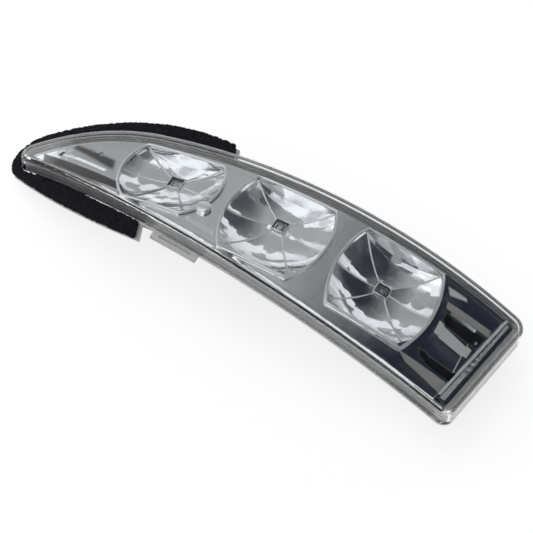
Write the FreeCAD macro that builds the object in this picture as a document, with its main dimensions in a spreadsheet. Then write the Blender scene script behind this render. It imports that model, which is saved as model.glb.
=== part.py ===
import FreeCAD, Part
import math
import os

import Sketcher

# Turn signal lamp of a door mirror.
# Frame: +Z out through the lens, X along the lamp with the pointed tip at -X,
# Y across it. The mounting bosses stand on the plane Z = 0.
# The lens face is an arch about an axis parallel to Y, so every height inside
# the lamp is a depth below that arch.

doc = FreeCAD.newDocument("mirror_turn_signal_lamp")
sheet = doc.addObject("Spreadsheet::Sheet", "sizes")

SIZES = [
    # Overall form
    ("face_height", 42.0, "mounting plane to the top of the lens face"),
    ("arch_radius", 245.0, "lengthwise arch of the lens face"),
    ("crown_x", 10.0, "highest point of both arches"),
    ("case_depth", 20.0, "face to the outside of the back skin"),
    ("back_radius", 285.0, "lengthwise arch of the back skin"),
    ("slab_width", 140.0, "length of the arch cylinders, more than the lamp is wide"),
    # Plan outline of the lens
    ("tip_x", -108.6, "sharp corner of the tip before rounding"),
    ("tip_y", -0.9, ""),
    ("shoulder_x", -50.0, "end of the tip curve on the far side"),
    ("shoulder_y", 23.6, ""),
    ("far_end_x", 109.3, "blunt end, far corner"),
    ("far_end_y", 23.3, ""),
    ("near_end_x", 98.8, "blunt end, near corner"),
    ("near_end_y", -35.9, ""),
    ("near_bow", 790.0, "radius of the near side"),
    ("far_bow", 1380.0, "radius of the far side"),
    ("tip_bow", 88.9, "radius of the tip curve"),
    ("corner_radius", 5.4, "plan radius of all three corners"),
    # Plan outline of the foam and the brim
    ("nose_near_x", -103.0, "near end of the nose curve"),
    ("nose_near_y", -6.1, ""),
    ("nose_far_x", -102.0, "far end of the nose curve"),
    ("nose_far_y", 18.7, ""),
    ("nose_bow", 16.0, "radius of the nose curve"),
    ("foam_near_x", -37.0, "near end of the foam, outer corner"),
    ("foam_near_y", -27.3, ""),
    ("foam_far_x", -25.2, "far end of the foam, outer corner"),
    ("foam_far_y", 34.5, ""),
    ("foam_near_in_x", -41.5, "near end of the foam, inner corner, in under the lens"),
    ("foam_near_in_y", -14.1, ""),
    ("foam_far_in_x", -18.5, "far end of the foam, inner corner, in under the lens"),
    ("foam_far_in_y", 17.9, ""),
    ("foam_near_bow", 155.0, "radius of the near outer edge"),
    ("foam_far_bow", 110.6, "radius of the far outer edge"),
    ("foam_thickness", 2.0, ""),
    ("foam_gap", 0.3, "foam to lens wall"),
    ("foam_overhang", 1.0, "foam beyond the brim"),
    ("brim_thickness", 1.8, ""),
    ("brim_margin", 2.9, "brim beyond the ends of the foam"),
    # Lens
    ("lens_wall", 2.0, ""),
    ("lens_skin", 2.2, ""),
    ("lens_round", 2.4, "radius along the edge of the face"),
    ("weld_depth", 7.6, "face to the lower end of the lens wall"),
    ("weld_thickness", 0.4, ""),
    # Bezel frame
    ("fit", 0.3, "clearance between nested mouldings"),
    ("bezel_top", 2.7, "face to the top of the bezel"),
    ("bezel_wall", 2.2, ""),
    ("terrace_width", 0.75, "steps down to the reflector"),
    ("terrace_drop", 0.6, ""),
    ("groove_width", 0.6, "lines along the bezel"),
    ("groove_depth", 0.35, ""),
    ("groove_pitch", 1.5, ""),
    # Reflector
    ("deck_depth", 4.0, "face to the field of the reflector"),
    ("deck_thickness", 1.5, ""),
    ("lip_wall", 0.9, "downturned edge of the reflector"),
    ("bowl_wall", 1.2, ""),
    ("bowl_radius", 34.0, "height of the ball centres over the middle of a bowl"),
    ("petal_ledge", 3.5, "flat ledge along the near edge"),
    ("mouth_depth", 9.6, "face to the edge of the LED opening"),
    ("mouth_side", 5.6, "LED opening"),
    ("rim_width", 0.9, "raised rim round each cell"),
    ("rim_rise", 0.8, ""),
    ("cell_step", 0.7, "deck to the flat band inside the rim"),
    ("tip_cell_angle", -11.65, "cell centres as angles on the arch"),
    ("middle_cell_angle", -0.4, ""),
    ("end_cell_angle", 10.85, ""),
    ("tip_cell_far", 17.0, "far edge of the cell"),
    ("middle_cell_far", 18.5, ""),
    ("end_cell_far", 18.7, ""),
    ("tip_cell_near", -12.2, "near edge of the cell"),
    ("middle_cell_near", -20.6, ""),
    ("end_cell_near", -21.7, ""),
    ("tip_cell_base", 11.8, "half length of the near edge"),
    ("middle_cell_base", 13.8, ""),
    ("end_cell_base", 15.5, ""),
    ("cell_top", 16.4, "half length of the far edge"),
    ("cell_bulge", 20.3, "half length across the bulged ends"),
    ("tip_led_y", 7.2, "LED across the lamp"),
    ("middle_led_y", 5.8, ""),
    ("end_led_y", 1.6, ""),
    # Boards and LEDs
    ("board_depth", 13.0, "face to the front of the boards"),
    ("board_length", 34.0, ""),
    ("board_thickness", 1.6, ""),
    ("board_near", 14.0, "LED to the near edge of its board"),
    ("board_far", 9.0, "LED to the far edge of its board"),
    ("led_side", 4.8, ""),
    ("led_body", 2.4, ""),
    ("dome_radius", 1.7, ""),
    ("chip_length", 3.2, "resistors and diodes"),
    ("chip_width", 1.6, ""),
    ("chip_height", 0.6, ""),
    ("chip_inset", 5.0, "board end to the first resistor"),
    ("chip_pitch", 4.5, ""),
    ("chip_row", 10.0, "near edge of a board to the resistors"),
    ("diode_length", 4.4, ""),
    ("diode_width", 2.6, ""),
    ("diode_height", 1.0, ""),
    ("diode_inset", 13.5, "board end to the diode"),
    ("diode_row", 1.5, "near edge of a board to the diode"),
    ("link_width", 1.4, "flat links between the boards"),
    ("link_thickness", 0.5, ""),
    ("link_rise", 1.4, ""),
    ("link_inset", 2.0, "board end to the foot of a link"),
    ("link_near_y", 0.5, ""),
    ("link_far_y", 2.8, ""),
    ("board_screw_inset", 4.0, "board edges to a board screw"),
    ("board_post_radius", 3.0, ""),
    ("post_run", 40.0, "posts run down past the back skin before they are trimmed"),
    # Screws
    ("screw_shank", 1.25, "radius"),
    ("screw_head", 2.4, "radius"),
    ("screw_head_height", 1.6, ""),
    ("board_screw_length", 7.0, ""),
    ("case_screw_length", 9.0, ""),
    ("screw_play", 0.15, "round the shank of a screw"),
    ("pilot_room", 0.8, "pilot hole past the end of its screw"),
    ("socket_drive", 0.9, "radius of the drive recess"),
    ("post_radius", 2.7, "reflector posts"),
    ("screw_pad", 1.0, "spot face below the back skin"),
    ("screw_pad_radius", 4.2, ""),
    ("screw_a_x", -70.0, "reflector screws; a and f stand on the pan, the others on the tub"),
    ("screw_a_y", 7.4, ""),
    ("screw_b_x", -15.0, ""),
    ("screw_b_y", 14.9, ""),
    ("screw_c_x", -17.4, ""),
    ("screw_c_y", -8.1, ""),
    ("screw_d_x", 32.5, ""),
    ("screw_d_y", 14.9, ""),
    ("screw_e_x", 31.4, ""),
    ("screw_e_y", -12.1, ""),
    ("screw_f_x", 93.5, ""),
    ("screw_f_y", 1.9, ""),
    # Housing
    ("rim_inset", 0.8, "lens wall overhangs the rim flange"),
    ("rim_thickness", 1.4, ""),
    ("pan_inset", 3.2, "lens outline to the outside of the shallow pan"),
    ("pan_wall", 1.5, ""),
    ("pan_floor_depth", 10.8, "face to the floor of the pan"),
    ("pan_floor", 1.5, "thickness"),
    ("tub_start_x", -61.0, "deep tub behind the boards"),
    ("tub_start_near", -8.9, ""),
    ("tub_start_far", 20.6, ""),
    ("tub_stop_x", 81.0, ""),
    ("tub_stop_near", -23.1, ""),
    ("tub_stop_far", 23.4, ""),
    ("tub_wall", 1.8, ""),
    ("back_skin", 2.2, ""),
    ("boss_radius", 5.0, "mounting bosses"),
    ("boss_tip_x", -83.0, ""),
    ("boss_tip_y", 2.4, ""),
    ("boss_near_x", 87.0, ""),
    ("boss_near_y", -10.1, ""),
    ("boss_far_x", 87.0, ""),
    ("boss_far_y", 13.9, ""),
    ("boss_top_depth", 8.4, "face to the inner end of a boss"),
    ("insert_radius", 2.8, "threaded inserts"),
    ("insert_bore", 1.65, "radius of the thread core"),
    ("insert_length", 7.0, ""),
    ("insert_play", 0.1, ""),
    ("tip_screw_room", 1.5, "past the insert, for the end of the screw"),
    ("near_screw_room", 2.5, ""),
    ("far_screw_room", 3.5, ""),
    ("groove_start", 2.8, "waist of an insert"),
    ("groove_stop", 4.2, ""),
    ("groove_cut", 0.4, ""),
    ("rib_wall", 1.6, "ribs between the bosses"),
    ("rib_foot", 5.6, "mounting plane to the lower edge of the ribs"),
    ("tab_start_x", -33.0, "slotted tab on the near side"),
    ("tab_length", 21.0, ""),
    ("tab_reach", 2.6, ""),
    ("tab_thickness", 1.3, ""),
    ("tab_slot_length", 15.0, ""),
    ("tab_slot", 0.9, ""),
    # Connector
    ("plug_x", 15.0, "axis of the connector neck"),
    ("plug_y", 5.9, ""),
    ("pad_radius", 13.0, "flat pad round the connector"),
    ("pad_drop", 3.0, "pad face below the back skin"),
    ("neck_radius", 7.3, ""),
    ("neck_height", 8.0, "above the pad face"),
    ("lug_reach", 1.4, ""),
    ("lug_width", 4.0, ""),
    ("lug_height", 1.6, ""),
    ("flange_radius", 11.8, ""),
    ("flange_thickness", 2.0, ""),
    ("seal_width", 2.0, ""),
    ("seal_height", 1.4, ""),
    ("shroud_length", 27.0, ""),
    ("shroud_width", 17.0, ""),
    ("shroud_height", 10.6, ""),
    ("shroud_wall", 1.7, ""),
    ("shroud_depth", 16.0, "depth of the plug opening"),
    ("key_width", 3.0, "coding rib in the opening"),
    ("key_height", 1.2, ""),
    ("pin_thickness", 0.8, ""),
    ("pin_width", 1.8, ""),
    ("pin_pitch", 5.2, ""),
    ("pin_reach", 11.0, "pin length in the opening"),
    ("pin_play", 0.15, ""),
    # Vent
    ("vent_x", 57.0, ""),
    ("vent_y", -5.1, ""),
    ("vent_radius", 6.2, ""),
    ("vent_drop", 3.0, "vent boss below the back skin"),
    ("vent_bore", 2.0, ""),
    ("membrane_radius", 4.6, ""),
    ("membrane_thickness", 0.4, ""),
    ("cap_wall", 1.0, ""),
    ("cap_standoff", 0.8, ""),
    ("cap_clearance", 1.7, "rim of the cap to the back skin"),
    # End of the reflector
    ("ridge_x", 96.2, "ridge line across the blunt end, at Y = 0"),
    ("ridge_lean", 11.1, "lean of the ridge line from the Y axis"),
    ("ridge_width", 1.2, ""),
    ("ridge_rise", 0.6, ""),
    ("end_floor_depth", 6.2, "face to the floor beyond the ridge"),
    ("diffuser_top", 3.4, "face to the top of the diffuser"),
    ("flute_pitch", 3.2, "flutes across the diffuser"),
    ("flute_radius", 1.2, ""),
    ("recess_x", 81.0, "rectangular step beside the end cell"),
    ("recess_y", -21.1, ""),
    ("recess_length", 11.0, ""),
    ("recess_width", 28.0, ""),
    ("recess_depth", 0.9, ""),
    # Tip of the reflector
    ("band_lean", 14.0, "lean of the two tip bands from the X axis"),
    ("band_depth", 0.9, ""),
    ("long_band_x", -94.0, ""),
    ("long_band_y", -3.3, ""),
    ("long_band_length", 38.0, ""),
    ("long_band_width", 1.9, ""),
    ("short_band_x", -88.0, ""),
    ("short_band_y", 2.9, ""),
    ("short_band_length", 24.0, ""),
    ("short_band_width", 2.6, ""),
    ("stud_x", -19.6, "oval stud between tip and middle cells"),
    ("stud_y", -5.7, ""),
    ("stud_radius", 2.9, ""),
    ("stud_depth", 2.8, "face to the top of the stud"),
]
for row, (alias, value, meaning) in enumerate(SIZES, start=1):
    sheet.set("A%d" % row, alias)
    sheet.set("B%d" % row, str(value))
    sheet.set("C%d" % row, meaning)
    sheet.setAlias("B%d" % row, alias)
doc.recompute()


def size(alias):
    return float(sheet.get(alias))


# Helpers

def bind(obj, **links):
    """Tie properties to the sheet; a double underscore stands for a dot."""
    for prop, expression in links.items():
        obj.setExpression(prop.replace("__", "."), expression)
    return obj


def outline_sketch(name, corners, arcs, shift=None):
    """Closed sketch, run anticlockwise. corners: alias pairs; arcs: radius alias or None;
    shift: aliases of corners that move by a further size."""
    shift = shift or {}
    sketch = doc.addObject("Sketcher::SketchObject", name)
    points = []
    for pair in corners:
        points.append([size(a) + (size(shift[a]) if a in shift else 0) for a in pair])
    count = len(points)
    for i, bow in enumerate(arcs):
        (x0, y0), (x1, y1) = points[i], points[(i + 1) % count]
        if bow is None:
            sketch.addGeometry(Part.LineSegment(FreeCAD.Vector(x0, y0, 0), FreeCAD.Vector(x1, y1, 0)))
            continue
        radius = size(bow)
        half = math.hypot(x1 - x0, y1 - y0) / 2
        away = math.sqrt(radius ** 2 - half ** 2)
        left_x, left_y = -(y1 - y0) / (2 * half), (x1 - x0) / (2 * half)
        centre_x, centre_y = (x0 + x1) / 2 + left_x * away, (y0 + y1) / 2 + left_y * away
        start = math.atan2(y0 - centre_y, x0 - centre_x)
        stop = math.atan2(y1 - centre_y, x1 - centre_x)
        circle = Part.Circle(FreeCAD.Vector(centre_x, centre_y, 0), FreeCAD.Vector(0, 0, 1), radius)
        sketch.addGeometry(Part.ArcOfCircle(circle, start, stop))
    for i in range(count):
        sketch.addConstraint(Sketcher.Constraint("Coincident", i, 2, (i + 1) % count, 1))
    for i, (ax, ay) in enumerate(corners):
        for kind, alias in (("DistanceX", ax), ("DistanceY", ay)):
            extra = shift.get(alias)
            value = size(alias) + (size(extra) if extra else 0)
            link = "sizes." + alias + (" + sizes." + extra if extra else "")
            index = sketch.addConstraint(Sketcher.Constraint(kind, -1, 1, i, 1, value))
            label = "%s_%d" % (alias, i + 1)
            sketch.renameConstraint(index, label)
            sketch.setExpression("Constraints." + label, link)
    for i, bow in enumerate(arcs):
        if bow is not None:
            index = sketch.addConstraint(Sketcher.Constraint("Radius", i, size(bow)))
            sketch.renameConstraint(index, bow)
            sketch.setExpression("Constraints." + bow, "sizes." + bow)
    return sketch


def outline_offset(name, source, distance):
    """Outline grown (or shrunk) by the value of an expression."""
    ring = doc.addObject("Part::Offset2D", name)
    ring.Source = source
    return bind(ring, Value=distance)


def column(name, outline):
    """Upright solid over an outline, from below the lamp to above it."""
    solid = doc.addObject("Part::Extrusion", name)
    solid.Base = outline
    solid.DirMode = "Custom"
    solid.Dir = FreeCAD.Vector(0, 0, 1)
    solid.Solid = True
    return bind(solid, LengthFwd="sizes.face_height * 1.5", LengthRev="sizes.face_height / 2")


def arch_cylinder(name, radius, top):
    """Lying cylinder along Y whose crown is at the height top."""
    arch = doc.addObject("Part::Cylinder", name)
    arch.Placement = FreeCAD.Placement(FreeCAD.Vector(), FreeCAD.Rotation(FreeCAD.Vector(1, 0, 0), -90))
    links = {"Placement.Base.x": "sizes.crown_x", "Placement.Base.y": "-sizes.slab_width / 2",
             "Placement.Base.z": "%s - (%s)" % (top, radius)}
    for prop, expression in links.items():
        arch.setExpression(prop, expression)
    return bind(arch, Radius=radius, Height="sizes.slab_width")


def below_face(name, depth):
    """All that lies under the arch at a depth below the lens face."""
    depth = "(%s)" % depth
    return arch_cylinder(name, "sizes.arch_radius - " + depth, "sizes.face_height - " + depth)


def combine(kind, name, base, tool):
    result = doc.addObject("Part::" + kind, name)
    result.Base = base
    result.Tool = tool
    return result


def cut(name, base, tool):
    return combine("Cut", name, base, tool)


def common(name, base, tool):
    return combine("Common", name, base, tool)


def fuse(name, *pieces):
    result = doc.addObject("Part::MultiFuse", name)
    result.Shapes = list(pieces)
    return result


def build_up(name, first, *others):
    """Fuse pieces one after another, for a body of many parts."""
    whole = first
    for number, piece in enumerate(others, start=1):
        step_name = name if number == len(others) else "%s_step_%d" % (name, number)
        whole = combine("Fuse", step_name, whole, piece)
        whole.Refine = False
    return whole


def group(name, pieces):
    """Several loose solids that share one name."""
    result = doc.addObject("Part::Compound", name)
    result.Links = list(pieces)
    return result


def layer(name, outline, top, bottom):
    """Arched plate over an outline between two depths below the lens face."""
    thick = common(name + "_over", column(name + "_column", outline), below_face(name + "_top", top))
    return cut(name, thick, below_face(name + "_bottom", bottom))


def frame_layer(name, outer, inner, top, bottom):
    """Arched frame between two outlines and two depths."""
    ring = cut(name + "_ring", column(name + "_outer", outer), column(name + "_inner", inner))
    thick = common(name + "_over", ring, below_face(name + "_top", top))
    return cut(name, thick, below_face(name + "_bottom", bottom))


def rod(name, x, y, radius, bottom, top):
    """Upright cylinder between two heights."""
    pin = doc.addObject("Part::Cylinder", name)
    for prop, expression in {"Placement.Base.x": x, "Placement.Base.y": y, "Placement.Base.z": bottom}.items():
        pin.setExpression(prop, expression)
    return bind(pin, Radius=radius, Height="(%s) - (%s)" % (top, bottom))


def block(name, x, y, z, length, width, height, yaw=None):
    """Box from its lower corner, turned about Z by yaw when given."""
    box = doc.addObject("Part::Box", name)
    for prop, expression in {"Placement.Base.x": x, "Placement.Base.y": y, "Placement.Base.z": z}.items():
        box.setExpression(prop, expression)
    if yaw:
        box.setExpression("Placement.Rotation.Yaw", yaw)
    return bind(box, Length=length, Width=width, Height=height)


def on_arch(obj, cell, depth, along, across):
    """Place an object upright on the arch of a cell at a depth below the face."""
    angle = "sizes.%s_cell_angle" % cell
    radius = "(sizes.arch_radius - (%s))" % depth
    obj.setExpression("Placement.Base.x", "sizes.crown_x + %s * sin(%s) + (%s) * cos(%s)"
                      % (radius, angle, along, angle))
    obj.setExpression("Placement.Base.y", across)
    obj.setExpression("Placement.Base.z", "sizes.face_height - sizes.arch_radius + %s * cos(%s) - (%s) * sin(%s)"
                      % (radius, angle, along, angle))
    obj.setExpression("Placement.Rotation.Pitch", angle)
    return obj


BACK_HEIGHT = "(sizes.face_height - sizes.case_depth)"


def pan_at(x):
    """Height of the outside of the pan floor at x, as an expression."""
    depth = "(sizes.arch_radius - sizes.pan_floor_depth - sizes.pan_floor)"
    return "(sizes.face_height - sizes.arch_radius + sqrt(%s ^ 2 - (%s - sizes.crown_x) ^ 2))" % (depth, x)


def back_at(x):
    """Height of the outside of the back skin at x, as an expression."""
    return "(" + BACK_HEIGHT + " - sizes.back_radius + sqrt(sizes.back_radius ^ 2 - (%s - sizes.crown_x) ^ 2))" % x


CELLS = ("tip", "middle", "end")

# Plan outlines

lens_sharp = outline_sketch(
    "lens_sketch",
    [("tip_x", "tip_y"), ("near_end_x", "near_end_y"), ("far_end_x", "far_end_y"), ("shoulder_x", "shoulder_y")],
    ["near_bow", None, "far_bow", "tip_bow"])
lens_shrunk = outline_offset("lens_outline_shrunk", lens_sharp, "-sizes.corner_radius")
lens_outline = outline_offset("lens_outline", lens_shrunk, "sizes.corner_radius")

FOAM_CORNERS = [("nose_near_x", "nose_near_y"), ("foam_near_x", "foam_near_y"),
                ("foam_near_in_x", "foam_near_in_y"), ("foam_far_in_x", "foam_far_in_y"),
                ("foam_far_x", "foam_far_y"), ("nose_far_x", "nose_far_y")]
FOAM_ARCS = ["foam_near_bow", None, None, None, "foam_far_bow", "nose_bow"]
foam_outline = outline_sketch("foam_sketch", FOAM_CORNERS, FOAM_ARCS)
brim_sketch = outline_sketch("brim_sketch", FOAM_CORNERS, FOAM_ARCS,
                             shift={"foam_near_x": "brim_margin", "foam_near_in_x": "brim_margin",
                                    "foam_far_in_x": "brim_margin", "foam_far_x": "brim_margin"})
brim_outline = outline_offset("brim_outline", brim_sketch, "-sizes.foam_overhang")

BEZEL_OUT = "(sizes.lens_wall + sizes.fit)"
BEZEL_IN = "(%s + sizes.bezel_wall)" % BEZEL_OUT
DECK_EDGE = "(%s + sizes.fit)" % BEZEL_IN
LIP_IN = "(%s + sizes.lip_wall)" % DECK_EDGE

wall_inside = outline_offset("wall_inside_outline", lens_outline, "-sizes.lens_wall")
pan_outside = outline_offset("pan_outer_outline", lens_outline, "-sizes.pan_inset")
pan_inside = outline_offset("pan_inner_outline", lens_outline, "-(sizes.pan_inset + sizes.pan_wall)")
rim_outline = outline_offset("rim_outline", lens_outline, "-sizes.rim_inset")
tub_outside = outline_sketch(
    "tub_sketch",
    [("tub_start_x", "tub_start_near"), ("tub_stop_x", "tub_stop_near"), ("tub_stop_x", "tub_stop_far"),
     ("tub_start_x", "tub_start_far")],
    [None, None, None, None])
tub_inside = outline_offset("tub_inner_outline", tub_outside, "-sizes.tub_wall")
bezel_outside = outline_offset("bezel_outer_outline", lens_outline, "-" + BEZEL_OUT)
bezel_inside = outline_offset("bezel_inner_outline", lens_outline, "-" + BEZEL_IN)
deck_outline = outline_offset("deck_outline", lens_outline, "-" + DECK_EDGE)
lip_inside = outline_offset("lip_inner_outline", lens_outline, "-" + LIP_IN)

# Outer lens: clear cap with an arched face and upright walls

lens_block = layer("lens_block", lens_outline, "0", "sizes.weld_depth")
doc.recompute()


def face_edges(obj, radius):
    """Edges of an arched block that bound its crown, the cylinder of the given radius."""
    found = []
    for number, edge in enumerate(obj.Shape.Edges, start=1):
        faces = obj.Shape.ancestorsOfType(edge, Part.Face)
        crowns = [f for f in faces if f.Surface.TypeId == "Part::GeomCylinder"
                  and abs(f.Surface.Radius - radius) < 1e-4]
        if crowns and len(faces) == 2 and len(crowns) == 1:
            found.append(number)
    return found


lens_soft = doc.addObject("Part::Fillet", "lens_rounded")
lens_soft.Base = lens_block
radius_now = size("lens_round")
lens_soft.Edges = [(n, radius_now, radius_now) for n in face_edges(lens_block, size("arch_radius"))]
lens_hollow = layer("lens_hollow", wall_inside, "sizes.lens_skin", "sizes.weld_depth + 5")
outer_lens = cut("outer_lens", lens_soft, lens_hollow)

# Weld bead between lens wall and housing rim

RIM_DEPTH = "(sizes.weld_depth + sizes.weld_thickness)"
lens_weld = frame_layer("lens_weld", lens_outline, wall_inside, "sizes.weld_depth", RIM_DEPTH)

# Bezel frame with lines along its outer side

bezel_plain = frame_layer("bezel_plain", bezel_outside, bezel_inside, "sizes.bezel_top", RIM_DEPTH)
groove_floor = outline_offset("groove_floor_outline", bezel_outside, "-sizes.groove_depth")
grooves = []
for step in range(3):
    top = "sizes.bezel_top + sizes.groove_pitch * %g" % (step + 0.6)
    grooves.append(frame_layer("bezel_groove_%d" % (step + 1), wall_inside, groove_floor,
                               top, top + " + sizes.groove_width"))
terraces = []
for step in (1, 2):
    edge = outline_offset("terrace_outline_%d" % step, bezel_outside, "-sizes.terrace_width * %d" % step)
    terraces.append(layer("bezel_terrace_%d" % step, edge, "0", "sizes.bezel_top + sizes.terrace_drop * %d" % step))
bezel_frame = cut("bezel_frame", bezel_plain, fuse("bezel_grooves", *(grooves + terraces)))

# Foam gasket round the pointed end, on the brim of the housing

gap_outline = outline_offset("foam_gap_outline", lens_outline, "sizes.foam_gap")
foam_plate = layer("foam_plate", foam_outline, RIM_DEPTH + " - sizes.foam_thickness", RIM_DEPTH)
foam_gasket = cut("foam_gasket", foam_plate, column("foam_window", gap_outline))
doc.recompute()

# Reflector bowls: six petals meet in ridges that run from the LED opening
# to the six corners of the cell

AXIS_HEIGHT = size("face_height") - size("arch_radius")


def cell_face(cell, grow=0.0):
    """Barrel outline of a cell in its own plane: two straight edges, two bulged ends."""
    far, near = size(cell + "_cell_far"), size(cell + "_cell_near")
    top, base, bulge = size("cell_top"), size(cell + "_cell_base"), size("cell_bulge")
    middle = (far + near) / 2
    spot = [FreeCAD.Vector(x, y, 0) for x, y in
            [(-top, far), (-bulge, middle), (-base, near), (base, near), (bulge, middle), (top, far)]]
    edges = [Part.Arc(spot[0], spot[1], spot[2]).toShape(), Part.makeLine(spot[2], spot[3]),
             Part.Arc(spot[3], spot[4], spot[5]).toShape(), Part.makeLine(spot[5], spot[0])]
    face = Part.Face(Part.Wire(edges))
    return (face.makeOffset2D(grow) if grow else face), spot


def petal_ridges(cell):
    """Direction of each ridge from the LED, and how far out its arc has its low point."""
    led = FreeCAD.Vector(0, size(cell + "_led_y"), 0)
    corners = cell_face(cell)[1]
    height = size("bowl_radius")
    start = size("arch_radius") - size("mouth_depth")
    level = size("arch_radius") - size("deck_depth") - size("cell_step")
    ridges = []
    for corner in corners:
        if corner.y == size(cell + "_cell_near"):
            corner = corner + FreeCAD.Vector(0, size("petal_ledge"), 0)
        run = corner - led
        rise = math.sqrt(level ** 2 - corner.x ** 2) - start
        low = (run.Length ** 2 - 2 * height * rise + rise ** 2) / (2 * run.Length)
        ridges.append((math.atan2(run.y, run.x), low))
    return sorted(ridges)


def petal_balls(cell, extra=0.0):
    """Six balls whose lower skins make the petals; extra makes their outer wall.

    The ridges are arcs that all start at one point under the LED and end at the corners,
    so the centre of a ball lies where the axes of the two arcs beside it cross."""
    ridges = petal_ridges(cell)
    height = size("bowl_radius")
    level = size("arch_radius") - size("mouth_depth") + height
    balls = []
    for i, (angle, low) in enumerate(ridges):
        next_angle, next_low = ridges[(i + 1) % 6]
        turn = math.sin(next_angle - angle)
        x = (low * math.sin(next_angle) - next_low * math.sin(angle)) / turn
        y = (next_low * math.cos(angle) - low * math.cos(next_angle)) / turn
        centre = FreeCAD.Vector(x, size(cell + "_led_y") + y, level)
        balls.append(Part.makeSphere(math.sqrt(height ** 2 + x ** 2 + y ** 2) + extra, centre))
    return balls[0].multiFuse(balls[1:])


def cell_column(cell, grow, low, high):
    face = cell_face(cell, grow)[0]
    face.translate(FreeCAD.Vector(0, 0, low))
    return face.extrude(FreeCAD.Vector(0, 0, high - low))


def arch_solid(depth):
    """Everything under the arch at a depth, about the arch axis at the origin."""
    width = size("slab_width")
    return Part.makeCylinder(size("arch_radius") - depth, width, FreeCAD.Vector(0, -width / 2, 0),
                             FreeCAD.Vector(0, 1, 0))


def as_piece(name, shape, cell):
    """Document object from a shape made about the arch axis, turned to its cell."""
    piece = doc.addObject("Part::Feature", name)
    piece.Shape = shape
    piece.Placement = FreeCAD.Placement(FreeCAD.Vector(size("crown_x"), 0, AXIS_HEIGHT),
                                        FreeCAD.Rotation(FreeCAD.Vector(0, 1, 0), size(cell + "_cell_angle")))
    return piece


bowls = []
hollows = []
for cell in CELLS:
    crown = size("arch_radius") - size("deck_depth")
    floor = size("arch_radius") - size("board_depth")
    rim_grow = size("rim_width")
    shell = petal_balls(cell, size("bowl_wall")).common(cell_column(cell, size("bowl_wall"), floor, crown + 2))
    shell = shell.common(arch_solid(size("deck_depth")))
    rim = cell_column(cell, rim_grow, crown - 10, crown + 5).common(arch_solid(size("deck_depth") - size("rim_rise")))
    rim = rim.cut(arch_solid(size("deck_depth") + size("deck_thickness") / 2))
    bowls.append(as_piece(cell + "_bowl_shell", shell, cell))
    bowls.append(as_piece(cell + "_bowl_rim", rim, cell))
    reach = cell_column(cell, 0, floor, crown + 10)
    petals = petal_balls(cell).common(reach)
    step = reach.cut(arch_solid(size("deck_depth") + size("cell_step")))
    side = size("mouth_side")
    mouth = Part.makeBox(side, side, size("board_depth"),
                         FreeCAD.Vector(-side / 2, size(cell + "_led_y") - side / 2, floor))
    hollows.append(as_piece(cell + "_bowl_hollow", petals.fuse(step).fuse(mouth), cell))

# Reflector: arched field with a downturned lip, bowls, posts, end step and tip bands

deck = layer("reflector_deck", deck_outline, "sizes.deck_depth", "sizes.deck_depth + sizes.deck_thickness")
lip = frame_layer("reflector_lip", deck_outline, lip_inside, "sizes.deck_depth", RIM_DEPTH)


def end_zone(name, shift):
    """Upright block beyond the ridge line, moved along X by a shift."""
    across = "sizes.slab_width / 2"
    return block(name,
                 "sizes.ridge_x + (%s) - %s * sin(sizes.ridge_lean)" % (shift, across),
                 "-%s * cos(sizes.ridge_lean)" % across,
                 "0",
                 "sizes.slab_width", "sizes.slab_width", "sizes.face_height + 5", "-sizes.ridge_lean")


end_floor = common("reflector_end_floor",
                   layer("reflector_end_slab", deck_outline, "sizes.deck_depth - sizes.ridge_rise",
                         "sizes.end_floor_depth + sizes.deck_thickness"),
                   end_zone("ridge_zone", "0"))
end_pocket = common("reflector_end_pocket",
                    cut("reflector_end_room", column("reflector_end_column", lip_inside),
                        below_face("reflector_end_level", "sizes.end_floor_depth")),
                    end_zone("pocket_zone", "sizes.ridge_width"))
end_recess = cut("reflector_recess",
                 block("recess_block", "sizes.recess_x", "sizes.recess_y", "0",
                       "sizes.recess_length", "sizes.recess_width", "sizes.face_height"),
                 below_face("recess_level", "sizes.deck_depth + sizes.recess_depth"))
band_level = below_face("band_level", "sizes.deck_depth + sizes.band_depth")
tip_bands = []
for kind in ("long", "short"):
    strip = block(kind + "_band_block", "sizes.%s_band_x" % kind, "sizes.%s_band_y" % kind, "0",
                  "sizes.%s_band_length" % kind, "sizes.%s_band_width" % kind, "sizes.face_height",
                  "-sizes.band_lean")
    tip_bands.append(cut(kind + "_band", strip, band_level))
stud = common("reflector_stud",
              rod("stud_rod", "sizes.stud_x", "sizes.stud_y", "sizes.stud_radius",
                  "sizes.face_height - sizes.arch_radius + (sizes.arch_radius - sizes.deck_depth)"
                  " * cos(asin((sizes.stud_x - sizes.crown_x) / (sizes.arch_radius - sizes.deck_depth)))"
                  " - sizes.deck_thickness / 2",
                  "sizes.face_height"),
              below_face("stud_level", "sizes.stud_depth"))

SCREWS = "abcdef"
PAN_SCREWS = "af"


def floor_at(key):
    """Height of the outside of the floor that a reflector screw goes through, and its thickness."""
    x = "sizes.screw_%s_x" % key
    return (pan_at(x), "sizes.pan_floor") if key in PAN_SCREWS else (back_at(x), "sizes.back_skin")


def floor_fall(key):
    """How much the arched floor rises or falls across the radius of a post."""
    radius = "sizes.arch_radius" if key in PAN_SCREWS else "sizes.back_radius"
    run = "(sizes.screw_%s_x - sizes.crown_x)" % key
    return "sizes.post_radius * abs(%s) / sqrt((%s - sizes.pan_floor_depth) ^ 2 - %s ^ 2)" % (run, radius, run)


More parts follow.
